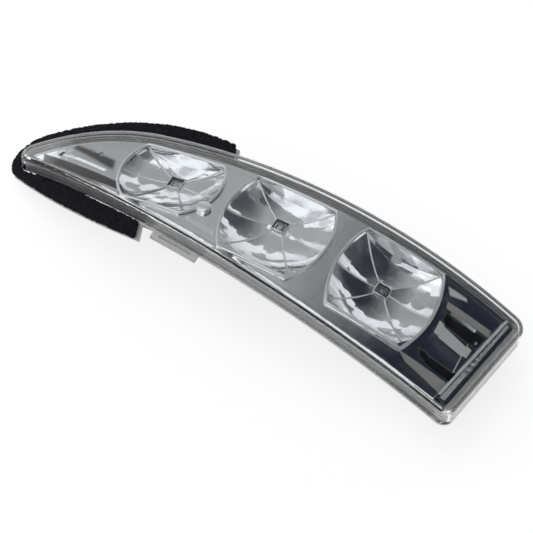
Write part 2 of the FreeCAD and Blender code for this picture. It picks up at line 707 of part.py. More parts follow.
posts = []
pilots = []
for key in SCREWS:
    x, y = "sizes.screw_%s_x" % key, "sizes.screw_%s_y" % key
    floor, skin = floor_at(key)
    seat = "%s + %s + %s + sizes.fit" % (floor, skin, floor_fall(key))
    posts.append(rod("reflector_post_" + key, x, y, "sizes.post_radius", seat, "sizes.face_height"))
    pilots.append(rod("reflector_pilot_" + key, x, y, "sizes.screw_shank + sizes.screw_play", seat,
                      floor + " - sizes.screw_pad + sizes.case_screw_length + sizes.pilot_room"))
post_group = common("reflector_posts", fuse("reflector_post_rods", *posts),
                    below_face("post_level", "sizes.deck_depth + sizes.deck_thickness / 2"))
bowl_group = common("reflector_bowls", fuse("reflector_bowl_blanks", *bowls),
                    column("bowl_limit", deck_outline))
reflector_solid = fuse("reflector_solid", deck, lip, end_floor, stud, post_group, bowl_group)
reflector = cut("reflector", reflector_solid,
                fuse("reflector_voids", end_pocket, end_recess, *(tip_bands + hollows + pilots)))

# Frosted diffuser with flutes, lying in the end pocket

diffuser_bar = common("diffuser_bar",
                      layer("diffuser_slab", outline_offset("diffuser_outline", lip_inside, "-sizes.fit"),
                            "sizes.diffuser_top", "sizes.end_floor_depth - sizes.fit"),
                      end_zone("diffuser_zone", "sizes.ridge_width + sizes.fit"))

doc.recompute()
flutes = []
for number in range(9):
    flute = doc.addObject("Part::Cylinder", "diffuser_flute_%d" % (number + 1))
    flute.Placement = FreeCAD.Placement(FreeCAD.Vector(), FreeCAD.Rotation(FreeCAD.Vector(0, 1, 0), 90))
    slide = "sizes.flute_pitch * %d" % (number - 4)
    flute.setExpression("Placement.Base.x", "sizes.ridge_x - 10")
    flute.setExpression("Placement.Base.y", slide)
    flute.setExpression("Placement.Base.z", "sizes.face_height - sizes.arch_radius"
                        " + (sizes.arch_radius - sizes.diffuser_top)"
                        " * cos(asin((sizes.ridge_x + 5 - sizes.crown_x) / sizes.arch_radius)) + sizes.flute_radius * 0.5")
    flutes.append(bind(flute, Radius="sizes.flute_radius", Height="40"))
end_diffuser = cut("end_diffuser", diffuser_bar, fuse("diffuser_flutes", *flutes))

# Boards, one square to each cell, with holes for their screws

boards = {}
board_screws = []
board_posts = []
board_pilots = []
leds = {}
resistors = []
diodes = []
half_board = "sizes.board_length / 2"
screw_along = "(%s - sizes.board_screw_inset)" % half_board
BOARD_BACK = "sizes.board_depth + sizes.board_thickness"


def upright(name, cell, depth, along, across, radius, height):
    """Cylinder that stands square to a cell, its foot at a depth below the face."""
    pin = doc.addObject("Part::Cylinder", name)
    return on_arch(bind(pin, Radius=radius, Height=height), cell, depth, along, across)


def chip(name, cell, along, across, length, width, height):
    """Box soldered flat on a board, given by its corner."""
    body = doc.addObject("Part::Box", name)
    return on_arch(bind(body, Length=length, Width=width, Height=height), cell, "sizes.board_depth", along, across)


for cell in CELLS:
    led_y = "sizes.%s_led_y" % cell
    plate = doc.addObject("Part::Box", cell + "_board_plate")
    bind(plate, Length="sizes.board_length", Width="sizes.board_near + sizes.board_far",
         Height="sizes.board_thickness")
    on_arch(plate, cell, BOARD_BACK, "-" + half_board, led_y + " - sizes.board_near")
    spots = [("-" + screw_along, led_y + " + sizes.board_far - sizes.board_screw_inset"),
             (screw_along, led_y + " - sizes.board_near + sizes.board_screw_inset")]
    holes = []
    for number, (along, across) in enumerate(spots, start=1):
        tag = "%s_%d" % (cell, number)
        holes.append(upright("board_hole_" + tag, cell, BOARD_BACK + " + 1", along, across,
                             "sizes.screw_shank + sizes.screw_play", "sizes.board_thickness + 2"))
        shank = upright("board_shank_" + tag, cell, "sizes.board_depth + sizes.board_screw_length", along, across,
                        "sizes.screw_shank", "sizes.board_screw_length")
        head = upright("board_head_" + tag, cell, "sizes.board_depth", along, across,
                       "sizes.screw_head", "sizes.screw_head_height")
        drive = upright("board_drive_" + tag, cell, "sizes.board_depth - sizes.screw_head_height / 2", along, across,
                        "sizes.socket_drive", "sizes.screw_head_height")
        board_screws.append(cut("board_screw_" + tag, fuse("board_screw_blank_" + tag, shank, head), drive))
        board_posts.append(upright("board_post_" + tag, cell, BOARD_BACK + " + sizes.post_run", along, across,
                                   "sizes.board_post_radius", "sizes.post_run"))
        board_pilots.append(upright("board_pilot_" + tag, cell,
                                    "sizes.board_depth + sizes.board_screw_length + sizes.pilot_room", along, across,
                                    "sizes.screw_shank + sizes.screw_play", "sizes.board_screw_length"))
    boards[cell] = (plate, holes)
    body = doc.addObject("Part::Box", cell + "_led_package")
    bind(body, Length="sizes.led_side", Width="sizes.led_side", Height="sizes.led_body")
    on_arch(body, cell, "sizes.board_depth", "-sizes.led_side / 2", led_y + " - sizes.led_side / 2")
    notch = doc.addObject("Part::Box", cell + "_led_notch")
    bind(notch, Length="sizes.led_side / 8", Width="sizes.led_side / 8", Height="sizes.led_body")
    on_arch(notch, cell, "sizes.board_depth", "sizes.led_side * 3 / 8", led_y + " + sizes.led_side * 3 / 8")
    leds[cell] = cut("led_" + cell, body, notch)
    dome = doc.addObject("Part::Sphere", cell + "_dome")
    bind(dome, Radius="sizes.dome_radius", Angle1="0")
    on_arch(dome, cell, "sizes.board_depth - sizes.led_body", "0", led_y)
    for number in (1, 2):
        along = "-%s + sizes.chip_inset + sizes.chip_pitch * %d" % (half_board, number - 1)
        resistors.append(chip("resistor_%s_%d" % (cell, number), cell, along,
                              led_y + " - sizes.board_near + sizes.chip_row", "sizes.chip_width",
                              "sizes.chip_length", "sizes.chip_height"))
    diodes.append(chip("diode_" + cell, cell, "%s - sizes.diode_inset" % half_board,
                       led_y + " - sizes.board_near + sizes.diode_row",
                       "sizes.diode_length", "sizes.diode_width", "sizes.diode_height"))
led_domes = group("led_domes", [doc.getObject(cell + "_dome") for cell in CELLS])
group("board_resistors", resistors)
group("board_diodes", diodes)
group("board_screws", board_screws)

# Connector socket: flange and neck through the back skin, shroud below it, lugs inside

PAD_FACE = "(%s - sizes.pad_drop)" % BACK_HEIGHT
SHROUD_TOP = "(%s - sizes.flange_thickness)" % PAD_FACE
flange = rod("socket_flange", "sizes.plug_x", "sizes.plug_y", "sizes.flange_radius", SHROUD_TOP, PAD_FACE)
neck = rod("socket_neck", "sizes.plug_x", "sizes.plug_y", "sizes.neck_radius", PAD_FACE,
           PAD_FACE + " + sizes.neck_height")
lug = block("socket_lugs", "sizes.plug_x - sizes.neck_radius - sizes.lug_reach", "sizes.plug_y - sizes.lug_width / 2",
            BACK_HEIGHT + " + sizes.back_skin + sizes.fit", "2 * (sizes.neck_radius + sizes.lug_reach)",
            "sizes.lug_width", "sizes.lug_height")
SHROUD_X = "(sizes.plug_x + sizes.flange_radius / 2 - sizes.shroud_length)"
shroud = block("socket_shroud", SHROUD_X, "sizes.plug_y - sizes.shroud_width / 2",
               SHROUD_TOP + " - sizes.shroud_height", "sizes.shroud_length", "sizes.shroud_width",
               "sizes.shroud_height")
opening = block("socket_opening", SHROUD_X, "sizes.plug_y - sizes.shroud_width / 2 + sizes.shroud_wall",
                SHROUD_TOP + " - sizes.shroud_height + sizes.shroud_wall", "sizes.shroud_depth",
                "sizes.shroud_width - 2 * sizes.shroud_wall", "sizes.shroud_height - 2 * sizes.shroud_wall")
key = block("socket_key", SHROUD_X, "sizes.plug_y - sizes.key_width / 2",
            SHROUD_TOP + " - sizes.shroud_wall - sizes.key_height", "sizes.shroud_depth", "sizes.key_width",
            "sizes.key_height")
PIN_Z = "(%s - sizes.shroud_height / 2)" % SHROUD_TOP
BOARD_TOP = "(sizes.face_height - sizes.board_depth)"
pins = []
channels = []
board_slots = []
for number, side in enumerate(("-", ""), start=1):
    pin_y = "sizes.plug_y %s sizes.pin_pitch / 2" % (side or "+")
    flat = block("pin_blade_%d" % number,
                 SHROUD_X + " + sizes.shroud_depth - sizes.pin_reach", pin_y + " - sizes.pin_width / 2",
                 PIN_Z + " - sizes.pin_thickness / 2",
                 "sizes.plug_x + sizes.pin_thickness / 2 - (%s + sizes.shroud_depth - sizes.pin_reach)" % SHROUD_X,
                 "sizes.pin_width", "sizes.pin_thickness")
    riser = block("pin_riser_%d" % number, "sizes.plug_x - sizes.pin_thickness / 2",
                  pin_y + " - sizes.pin_width / 2", PIN_Z + " - sizes.pin_thickness / 2",
                  "sizes.pin_thickness", "sizes.pin_width", BOARD_TOP + " + 0.6 - " + PIN_Z)
    pins.append(fuse("pin_%d" % number, flat, riser))
    play = "sizes.pin_play"
    channels.append(block("pin_channel_%d" % number, SHROUD_X + " + sizes.shroud_depth / 2",
                          pin_y + " - sizes.pin_width / 2 - " + play, PIN_Z + " - sizes.pin_thickness / 2 - " + play,
                          "sizes.plug_x + sizes.pin_thickness / 2 + %s - (%s + sizes.shroud_depth / 2)"
                          % (play, SHROUD_X), "sizes.pin_width + 2 * " + play, "sizes.pin_thickness + 2 * " + play))
    channels.append(block("pin_shaft_%d" % number, "sizes.plug_x - sizes.pin_thickness / 2 - " + play,
                          pin_y + " - sizes.pin_width / 2 - " + play, PIN_Z + " - sizes.pin_thickness / 2 - " + play,
                          "sizes.pin_thickness + 2 * " + play, "sizes.pin_width + 2 * " + play, "sizes.face_height"))
    board_slots.append(block("board_slot_%d" % number, "sizes.plug_x - sizes.pin_thickness / 2 - " + play,
                             pin_y + " - sizes.pin_width / 2 - " + play, BOARD_TOP + " - 5",
                             "sizes.pin_thickness + 2 * " + play, "sizes.pin_width + 2 * " + play, "10"))
socket_hollow = cut("socket_hollow", opening, key)
socket_body = fuse("socket_body", flange, neck, lug, shroud)
connector_socket = cut("connector_socket", socket_body, fuse("socket_voids", socket_hollow, *channels))
group("connector_pins", pins)
for cell in CELLS:
    plate, holes = boards[cell]
    tools = holes + (board_slots if cell == "middle" else [])
    cut("board_" + cell, plate, fuse("board_holes_" + cell, *tools))

SEAL_IN = "(sizes.neck_radius + sizes.fit)"
seal_outer = rod("seal_outer", "sizes.plug_x", "sizes.plug_y", SEAL_IN + " + sizes.seal_width", PAD_FACE,
                 PAD_FACE + " + sizes.seal_height")
seal_inner = rod("seal_inner", "sizes.plug_x", "sizes.plug_y", SEAL_IN, PAD_FACE, PAD_FACE + " + sizes.seal_height")
socket_seal = cut("socket_seal", seal_outer, seal_inner)

# Bent flat links between neighbouring boards

links = []


def on_board(cell, along, across, depth):
    """Point on a cell's own plane, in lamp coordinates."""
    angle = math.radians(size(cell + "_cell_angle"))
    radius = size("arch_radius") - depth
    return FreeCAD.Vector(size("crown_x") + radius * math.sin(angle) + along * math.cos(angle), across,
                          AXIS_HEIGHT + radius * math.cos(angle) - along * math.sin(angle))


for left, right in (("tip", "middle"), ("middle", "end")):
    for row in ("near", "far"):
        y = size("link_%s_y" % row)
        foot = size("board_length") / 2 - size("link_inset")
        depth = size("board_depth")
        rise = size("link_rise")
        spots = [on_board(left, foot, y, depth), on_board(left, foot, y, depth - rise),
                 on_board(right, -foot, y, depth - rise), on_board(right, -foot, y, depth)]
        path = Part.Wire([Part.makeLine(spots[i], spots[i + 1]) for i in range(3)])
        half_width, half_thick = size("link_width") / 2, size("link_thickness") / 2
        corners = [on_board(left, foot + i * half_thick, y + j * half_width, depth)
                   for i, j in ((-1, -1), (1, -1), (1, 1), (-1, 1), (-1, -1))]
        profile = Part.makePolygon(corners)
        link = doc.addObject("Part::Feature", "link_%s_%s_%s" % (left, right, row))
        link.Shape = path.makePipeShell([profile], True, True, 2)
        links.append(link)
group("board_links", links)
doc.recompute()

# Housing: rim flange and brim, shallow pan, deep tub with an arched back, posts, bosses, ribs, tab

back_outer = arch_cylinder("back_outer", "sizes.back_radius", BACK_HEIGHT)
back_inner = arch_cylinder("back_inner", "sizes.back_radius + sizes.back_skin",
                           BACK_HEIGHT + " + sizes.back_skin")
PAN_BOTTOM = "sizes.pan_floor_depth + sizes.pan_floor"
rim = frame_layer("rim_flange", rim_outline, pan_inside, RIM_DEPTH, RIM_DEPTH + " + sizes.rim_thickness")
brim_plate = layer("brim_plate", brim_outline, RIM_DEPTH, RIM_DEPTH + " + sizes.brim_thickness")
brim = cut("brim", brim_plate, column("brim_window", pan_inside))
pan_block = layer("pan_block", pan_outside, RIM_DEPTH, PAN_BOTTOM)
pan_room = cut("pan_room", column("pan_room_column", pan_inside), below_face("pan_room_floor", "sizes.pan_floor_depth"))
pan = cut("pan", cut("pan_dish", pan_block, pan_room), column("pan_window", tub_inside))
tub_block = common("tub_block", column("tub_column", tub_outside), below_face("tub_top", "sizes.pan_floor_depth"))
tub_solid = cut("tub_solid", tub_block, back_outer)
tub_room = cut("tub_room", column("tub_room_column", tub_inside), back_inner)
tub = cut("tub", tub_solid, tub_room)

tab_outer = outline_offset("tab_outline", lens_outline, "sizes.tab_reach")
tab_slot_outer = outline_offset("tab_slot_outer", lens_outline, "sizes.fit + sizes.tab_slot")
tab_slot_inner = outline_offset("tab_slot_inner", lens_outline, "sizes.fit")
tab_layer = frame_layer("tab_layer", tab_outer, pan_inside, RIM_DEPTH + " + sizes.fit",
                        RIM_DEPTH + " + sizes.fit + sizes.tab_thickness")
tab_blank = common("tab_blank", tab_layer,
                   block("tab_range", "sizes.tab_start_x", "-sizes.slab_width", "0", "sizes.tab_length",
                         "sizes.slab_width", "sizes.face_height"))
slot_ring = cut("tab_slot_ring", column("tab_slot_column", tab_slot_outer), column("tab_slot_core", tab_slot_inner))
tab_slot = common("tab_slot_cut", slot_ring,
                  block("tab_slot_range", "sizes.tab_start_x + (sizes.tab_length - sizes.tab_slot_length) / 2",
                        "-sizes.slab_width", "0", "sizes.tab_slot_length", "sizes.slab_width", "sizes.face_height"))
tab = cut("tab", tab_blank, tab_slot)

BOSSES = ("tip", "near", "far")
bosses = []
boss_bores = []
inserts = []
for key in BOSSES:
    x, y = "sizes.boss_%s_x" % key, "sizes.boss_%s_y" % key
    bosses.append(rod("boss_rod_" + key, x, y, "sizes.boss_radius", "0", "sizes.face_height"))
    boss_bores.append(rod("boss_bore_" + key, x, y, "sizes.insert_radius + sizes.insert_play", "0",
                          "sizes.insert_length + sizes.%s_screw_room" % key))
    sleeve = rod("insert_sleeve_" + key, x, y, "sizes.insert_radius", "0", "sizes.insert_length")
    collar = rod("insert_waist_" + key, x, y, "sizes.insert_radius + sizes.groove_cut", "sizes.groove_start",
                 "sizes.groove_stop")
    waist = rod("insert_waist_core_" + key, x, y, "sizes.insert_radius - sizes.groove_cut", "sizes.groove_start",
                "sizes.groove_stop")
    bore = rod("insert_bore_" + key, x, y, "sizes.insert_bore", "0", "sizes.insert_length")
    inserts.append(cut("insert_" + key, sleeve,
                       fuse("insert_voids_" + key, bore, cut("insert_groove_" + key, collar, waist))))
group("mount_inserts", inserts)

screw_pads = []
screw_holes = []
case_screws = []
for key in SCREWS:
    x, y = "sizes.screw_%s_x" % key, "sizes.screw_%s_y" % key
    floor, skin = floor_at(key)
    seat = floor + " - sizes.screw_pad"
    screw_pads.append(rod("screw_pad_" + key, x, y, "sizes.screw_pad_radius", seat, "%s + %s / 2" % (floor, skin)))
    screw_holes.append(rod("screw_hole_" + key, x, y, "sizes.screw_shank + sizes.screw_play", seat + " - 1",
                           "%s + %s * 2" % (floor, skin)))
    shank = rod("case_shank_" + key, x, y, "sizes.screw_shank", seat, seat + " + sizes.case_screw_length")
    head = rod("case_head_" + key, x, y, "sizes.screw_head", seat + " - sizes.screw_head_height", seat)
    drive = rod("case_drive_" + key, x, y, "sizes.socket_drive", seat + " - sizes.screw_head_height * 1.5",
                seat + " - sizes.screw_head_height / 2")
    case_screws.append(cut("case_screw_" + key, fuse("case_screw_blank_" + key, shank, head), drive))
group("reflector_screws", case_screws)

pad = rod("socket_pad", "sizes.plug_x", "sizes.plug_y", "sizes.pad_radius", PAD_FACE,
          BACK_HEIGHT + " + sizes.back_skin")
pad_bore = rod("socket_pad_bore", "sizes.plug_x", "sizes.plug_y", "sizes.neck_radius + sizes.fit",
               PAD_FACE + " - 1", BACK_HEIGHT + " + sizes.back_skin + 5")
pad_counterbore = rod("socket_pad_counterbore", "sizes.plug_x", "sizes.plug_y",
                      SEAL_IN + " + sizes.seal_width + sizes.fit", PAD_FACE + " - 1",
                      PAD_FACE + " + sizes.seal_height")
lug_slot = block("socket_lug_slot", "sizes.plug_x - sizes.lug_width / 2 - sizes.fit",
                 "sizes.plug_y - sizes.neck_radius - sizes.lug_reach - sizes.fit", PAD_FACE,
                 "sizes.lug_width + 2 * sizes.fit", "2 * (sizes.neck_radius + sizes.lug_reach + sizes.fit)",
                 "sizes.face_height")
VENT_FACE = "(%s - sizes.vent_drop)" % back_at("sizes.vent_x")
vent_boss = rod("vent_boss", "sizes.vent_x", "sizes.vent_y", "sizes.vent_radius", VENT_FACE,
                back_at("sizes.vent_x") + " + sizes.back_skin / 2")
vent_hole = rod("vent_hole", "sizes.vent_x", "sizes.vent_y", "sizes.vent_bore", VENT_FACE + " - 1",
                back_at("sizes.vent_x") + " + sizes.back_skin * 2")
vent_recess = rod("vent_recess", "sizes.vent_x", "sizes.vent_y", "sizes.membrane_radius + sizes.fit",
                  VENT_FACE + " - 1", VENT_FACE + " + sizes.membrane_thickness")
membrane = rod("vent_membrane", "sizes.vent_x", "sizes.vent_y", "sizes.membrane_radius", VENT_FACE,
               VENT_FACE + " + sizes.membrane_thickness")

boss_group = common("boss_group", fuse("boss_rods", *bosses), below_face("boss_level", "sizes.boss_top_depth"))
pan_middle = below_face("rib_level", "sizes.pan_floor_depth + sizes.pan_floor / 2")
cross_rib = common("cross_rib",
                   block("cross_rib_block", "sizes.boss_near_x - sizes.rib_wall / 2", "sizes.boss_near_y",
                         "sizes.rib_foot", "sizes.rib_wall", "sizes.boss_far_y - sizes.boss_near_y",
                         "sizes.face_height"), pan_middle)
keel_rib = common("keel_rib",
                  block("keel_rib_block", "sizes.boss_tip_x", "sizes.boss_tip_y - sizes.rib_wall / 2",
                        "sizes.rib_foot", "sizes.tub_start_x + sizes.tub_wall / 2 - sizes.boss_tip_x",
                        "sizes.rib_wall", "sizes.face_height"), pan_middle)
post_room = common("board_posts_trimmed", fuse("board_post_rods", *board_posts),
                   cut("post_room", column("post_column", tub_outside), back_outer))
housing_solid = build_up("housing_solid", pan, tub, rim, brim, tab, pad, vent_boss, cross_rib, keel_rib,
                         post_room, boss_group, *screw_pads)
housing = cut("housing", housing_solid,
              fuse("housing_voids", pad_bore, pad_counterbore, lug_slot, vent_hole, vent_recess,
                   *(boss_bores + screw_holes + board_pilots)))
housing.Refine = False

# Vent cap: shallow cup over the boss, held off its face by a ring

CAP_BORE = "(sizes.vent_radius + sizes.fit)"
CAP_FLOOR = "(%s - sizes.cap_standoff)" % VENT_FACE
cup = rod("cap_cup", "sizes.vent_x", "sizes.vent_y", CAP_BORE + " + sizes.cap_wall", CAP_FLOOR + " - sizes.cap_wall",
          VENT_FACE + " + sizes.vent_drop - sizes.cap_clearance")
cup_room = rod("cap_room", "sizes.vent_x", "sizes.vent_y", CAP_BORE, CAP_FLOOR, VENT_FACE + " + sizes.vent_drop")
ring_outer = rod("cap_ring_outer", "sizes.vent_x", "sizes.vent_y", "sizes.vent_radius", CAP_FLOOR, VENT_FACE)
ring_inner = rod("cap_ring_inner", "sizes.vent_x", "sizes.vent_y", "sizes.vent_radius - sizes.cap_wall", CAP_FLOOR,
                 VENT_FACE)
vent_cap = fuse("vent_cap", cut("cap_shell", cup, cup_room), cut("cap_ring", ring_outer, ring_inner))
doc.recompute()

# Check and export

NODES = ["outer_lens", "lens_weld", "bezel_frame", "reflector", "end_diffuser", "housing", "foam_gasket",
         "board_tip", "board_middle", "board_end", "led_tip", "led_middle", "led_end", "led_domes",
         "board_resistors", "board_diodes", "board_links", "board_screws", "reflector_screws",
         "connector_socket", "connector_pins", "socket_seal", "vent_cap", "vent_membrane", "mount_inserts"]

for obj in doc.Objects:
    if "Invalid" in obj.State or "Error" in obj.State:
        raise RuntimeError("%s did not compute" % obj.Name)
os.makedirs("parts", exist_ok=True)
for name in NODES:
    obj = doc.getObject(name)
    if obj.Shape.isNull() or not obj.Shape.isValid() or not obj.Shape.Solids:
        raise RuntimeError("%s has no sound shape" % name)
    obj.Label = name
    obj.Shape.exportStep("parts/%s.step" % name)
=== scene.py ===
"""Finish and fine detail of a mirror turn signal lamp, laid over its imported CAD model. Metres, row frame."""
import math

import bmesh
import bpy
from mathutils import Matrix, Vector, noise


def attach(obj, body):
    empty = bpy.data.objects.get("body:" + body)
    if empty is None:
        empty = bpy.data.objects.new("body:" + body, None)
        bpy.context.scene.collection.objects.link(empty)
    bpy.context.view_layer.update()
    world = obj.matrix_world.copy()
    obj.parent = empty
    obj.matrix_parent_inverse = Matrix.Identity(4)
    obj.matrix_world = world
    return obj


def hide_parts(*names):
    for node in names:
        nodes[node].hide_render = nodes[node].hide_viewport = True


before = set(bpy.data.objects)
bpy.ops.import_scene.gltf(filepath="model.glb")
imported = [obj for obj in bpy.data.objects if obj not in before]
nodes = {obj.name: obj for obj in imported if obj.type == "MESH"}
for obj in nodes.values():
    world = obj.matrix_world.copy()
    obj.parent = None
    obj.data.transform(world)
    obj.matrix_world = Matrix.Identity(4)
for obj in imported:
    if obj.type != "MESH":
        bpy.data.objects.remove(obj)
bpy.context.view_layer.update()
MM = 0.001

# Outer lens: injection moulded clear acrylic cover, 2 mm thick, welded to the shell round its rim.
# Its polished faces carry a very faint flow of the moulding. Its facets are made finer than the model's,
# because coarse ones break up what is seen through a clear wall.


class Wire:
    """Output socket of a node. Arithmetic on it adds Math nodes."""

    def __init__(self, finish, socket):
        self.finish = finish
        self.socket = socket

    def maths(self, operation, *values):
        return self.finish.node("ShaderNodeMath", {"operation": operation}, dict(enumerate(values)))

    def __add__(self, other):
        return self.maths("ADD", self, other)

    def __sub__(self, other):
        return self.maths("SUBTRACT", self, other)

    def __rsub__(self, other):
        return self.maths("SUBTRACT", other, self)

    def __mul__(self, other):
        return self.maths("MULTIPLY", self, other)

    def clamp(self):
        """The value held between 0 and 1."""
        return self.maths("MINIMUM", self.maths("MAXIMUM", self, 0.0), 1.0)

    def wave(self):
        """Sine of an angle in radians."""
        return self.maths("SINE", self)

    def part(self, name):
        """X, Y or Z of a vector."""
        return self.finish.node("ShaderNodeSeparateXYZ", {}, {0: self}, name)

    __radd__ = __add__
    __rmul__ = __mul__


class Finish:
    """Material of one finish: a Principled shader with fixed numbers, and nodes that vary over its face."""

    def __init__(self, name, **fixed):
        self.material = bpy.data.materials.new(name)
        self.material.use_nodes = True
        self.tree = self.material.node_tree
        self.shader = self.tree.nodes["Principled BSDF"]
        for socket, value in fixed.items():
            self.shader.inputs[socket.replace("_", " ")].default_value = value

    def node(self, kind, settings, inputs, output=0):
        """Output of a new node with its settings, and with values or wires on its inputs."""
        made = self.tree.nodes.new(kind)
        for name, value in settings.items():
            setattr(made, name, value)
        for name, value in inputs.items():
            if isinstance(value, Wire):
                self.tree.links.new(value.socket, made.inputs[name])
            else:
                made.inputs[name].default_value = value
        return Wire(self, made.outputs[output])

    def place(self, stretch=(1, 1, 1)):
        """Point of the surface in millimetres of the row frame, stretched along each axis."""
        spot = self.node("ShaderNodeTexCoord", {}, {}, "Object")
        return self.node("ShaderNodeVectorMath", {"operation": "MULTIPLY"},
                         {0: spot, 1: tuple(s / MM for s in stretch)})

    def cloud(self, per_mm, detail=3.0, stretch=(1, 1, 1)):
        """Soft noise from 0 to 1 with so many cells in a millimetre."""
        return self.node("ShaderNodeTexNoise", {},
                         {"Vector": self.place(stretch), "Scale": per_mm, "Detail": detail})

    def blend(self, share, first, second):
        """Colour between two colours."""
        both = {0: share, 6: (*first, 1.0) if isinstance(first, tuple) else first,
                7: (*second, 1.0) if isinstance(second, tuple) else second}
        return self.node("ShaderNodeMix", {"data_type": "RGBA"}, both, 2)

    def relief(self, height, depth_mm):
        """Normal from a height of 0 to 1 over a depth."""
        return self.node("ShaderNodeBump", {}, {"Height": height, "Distance": depth_mm * MM, "Strength": 1.0})

    def wear(self, **links):
        """Feeds what varies to the shader."""
        for socket, wire in links.items():
            self.tree.links.new(wire.socket, self.shader.inputs[socket.replace("_", " ")])

    def on(self, *pieces):
        """Makes this the only material of each piece."""
        for piece in pieces:
            piece.data.materials.clear()
            piece.data.materials.append(self.material)


SMOOTH_TURN = 0.9  # cosine between two facets, over which they pass as one curved face


def bowed(node, flattest_mm, rounds):
    """Copy of a CAD node with its long facets split and bowed out to the curve that their normals tell.

    Facets are lists of corners, each a point's number and the normal there. Each round halves every side
    whose bow is over the flattest that is left alone.
    """
    source = nodes[node].data
    source.calc_loop_triangles()
    corner_normals = [corner.vector.copy() for corner in source.corner_normals]
    points = []
    places = {}

    def place_of(spot):
        key = tuple(round(part / MM, 4) for part in spot)
        if key not in places:
            places[key] = len(points)
            points.append(Vector(spot))
        return places[key]

    facets = []
    for triangle in source.loop_triangles:
        ends = [place_of(source.vertices[number].co) for number in triangle.vertices]
        if len(set(ends)) == 3:
            facets.append([(end, corner_normals[loop]) for end, loop in zip(ends, triangle.loops)])
    for _ in range(rounds):
        sides = {}
        for facet in facets:
            for (a, normal_a), (b, normal_b) in zip(facet, facet[1:] + facet[:1]):
                middle = (points[a] + points[b]) / 2
                bow = (normal_a * (points[a] - middle).dot(normal_a)
                       + normal_b * (points[b] - middle).dot(normal_b)) / 4
                across = (normal_a + normal_b).normalized()
                sides.setdefault((min(a, b), max(a, b)), []).append((across, bow.dot(across)))
        halves = {}
        for (a, b), found in sides.items():
            if max(abs(rise) for _, rise in found) < flattest_mm * MM:
                continue
            (first, rise), (second, other) = found[0], found[-1]
            turn = first.dot(second)
            if abs(turn) > SMOOTH_TURN:
                shift = (first * rise + second * other) / 2
            else:  # a sharp edge: the new point lies on both of the curved faces that meet there
                shift = (first * (rise - turn * other) + second * (other - turn * rise)) / (1 - turn * turn)
            halves[(a, b)] = place_of((points[a] + points[b]) / 2 + shift)
        finer = []
        for facet in facets:
            ring = []
            for (a, normal_a), (b, normal_b) in zip(facet, facet[1:] + facet[:1]):
                ring.append((a, normal_a, False))
                half = halves.get((min(a, b), max(a, b)))
                if half is not None:
                    ring.append((half, (normal_a + normal_b).normalized(), True))
            while len(ring) > 3:  # cuts off old corners between two new points first
                size = len(ring)
                ears = [i for i in range(size)
                        if not ring[i][2] and ring[i - 1][2] and ring[(i + 1) % size][2]]
                tip = ears[0] if ears else ([i for i in range(size) if ring[i][2]][0] + 1) % size
                ear = (ring[tip - 1], ring[tip], ring[(tip + 1) % size])
                finer.append([corner[:2] for corner in ear])
                ring.pop(tip)
            finer.append([corner[:2] for corner in ring])
        facets = [facet for facet in finer if len({corner[0] for corner in facet}) == 3]
    shape = bpy.data.meshes.new(node + "_piece")
    shape.from_pydata(points, [], [[corner[0] for corner in facet] for facet in facets])
    for polygon in shape.polygons:
        polygon.use_smooth = True
    shape.normals_split_custom_set([tuple(corner[1]) for facet in facets for corner in facet])
    return added(node + "_piece", shape)


def added(name, shape):
    """Object of a mesh, riding with the lamp."""
    piece = bpy.data.objects.new(name, shape)
    bpy.context.scene.collection.objects.link(piece)
    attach(piece, "root")
    return piece


lens = bowed("outer_lens", flattest_mm=0.004, rounds=2)
clear = Finish("clear_lens", IOR=1.49, Transmission_Weight=1.0)
flow = clear.cloud(0.05, 2.0, (1.0, 2.4, 2.4))
clear.wear(Base_Color=clear.blend(clear.cloud(0.3), (0.955, 0.965, 0.975), (0.985, 0.99, 0.995)),
           Roughness=clear.cloud(0.8) * 0.012,
           Normal=clear.relief(flow, 0.06))
clear.on(lens)
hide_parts("outer_lens")

# Weld bead: the strip of acrylic that melts and is pressed flat between the lens and the shell.
# It is milky where air stayed in the melt.

weld = Finish("weld_bead", Roughness=0.4, Specular_IOR_Level=0.5)
weld.wear(Base_Color=weld.blend(weld.cloud(1.2, 5.0), (0.62, 0.64, 0.66), (0.86, 0.87, 0.88)),
          Roughness=weld.cloud(2.0) * 0.3 + 0.3,
          Normal=weld.relief(weld.cloud(1.6, 4.0), 0.12))
weld.on(nodes["lens_weld"])

# Bezel frame: light grey moulded strip between the lens wall and the reflector.
# Long fine lines run round it, its upward faces carry painted light, and where it closes the blunt end it is
# milky.

bezel = Finish("bezel_grey", Specular_IOR_Level=0.55, Coat_Weight=0.3, Coat_Roughness=0.12)
grain = bezel.cloud(0.06, 2.0, (1, 1, 8))
# Painted light: faces turned up are painted lighter than the walls, as if lit from above.
upward_painted_light = bezel.node("ShaderNodeNewGeometry", {}, {}, "Normal").part("Z").clamp()
lines = (bezel.cloud(2.2, 1.0, (0.03, 0.03, 1.0)) - 0.35).clamp() * 1.6
END_LEAN = 0.196
MILK_FROM = 98.5
MILK_RAMP = 0.7
across_end = bezel.node("ShaderNodeVectorMath", {"operation": "DOT_PRODUCT"},
                        {0: bezel.place(), 1: (1.0, -END_LEAN, 0.0)}, "Value")
blunt_end = ((across_end - MILK_FROM) * MILK_RAMP).clamp()
milk = bezel.blend(bezel.cloud(0.35, 3.0, (1.0, 0.6, 1.0)), (0.50, 0.50, 0.50), (0.90, 0.90, 0.89))
tones = bezel.blend((lines * 0.45 + grain * 0.3 + upward_painted_light * 0.35).clamp(),
                    (0.20, 0.21, 0.23), (0.62, 0.62, 0.60))
bezel.wear(Base_Color=bezel.blend(blunt_end, tones, milk),
           Roughness=lines * 0.25 + 0.16,
           Normal=bezel.relief(lines, 0.25))
bezel.on(nodes["bezel_frame"])
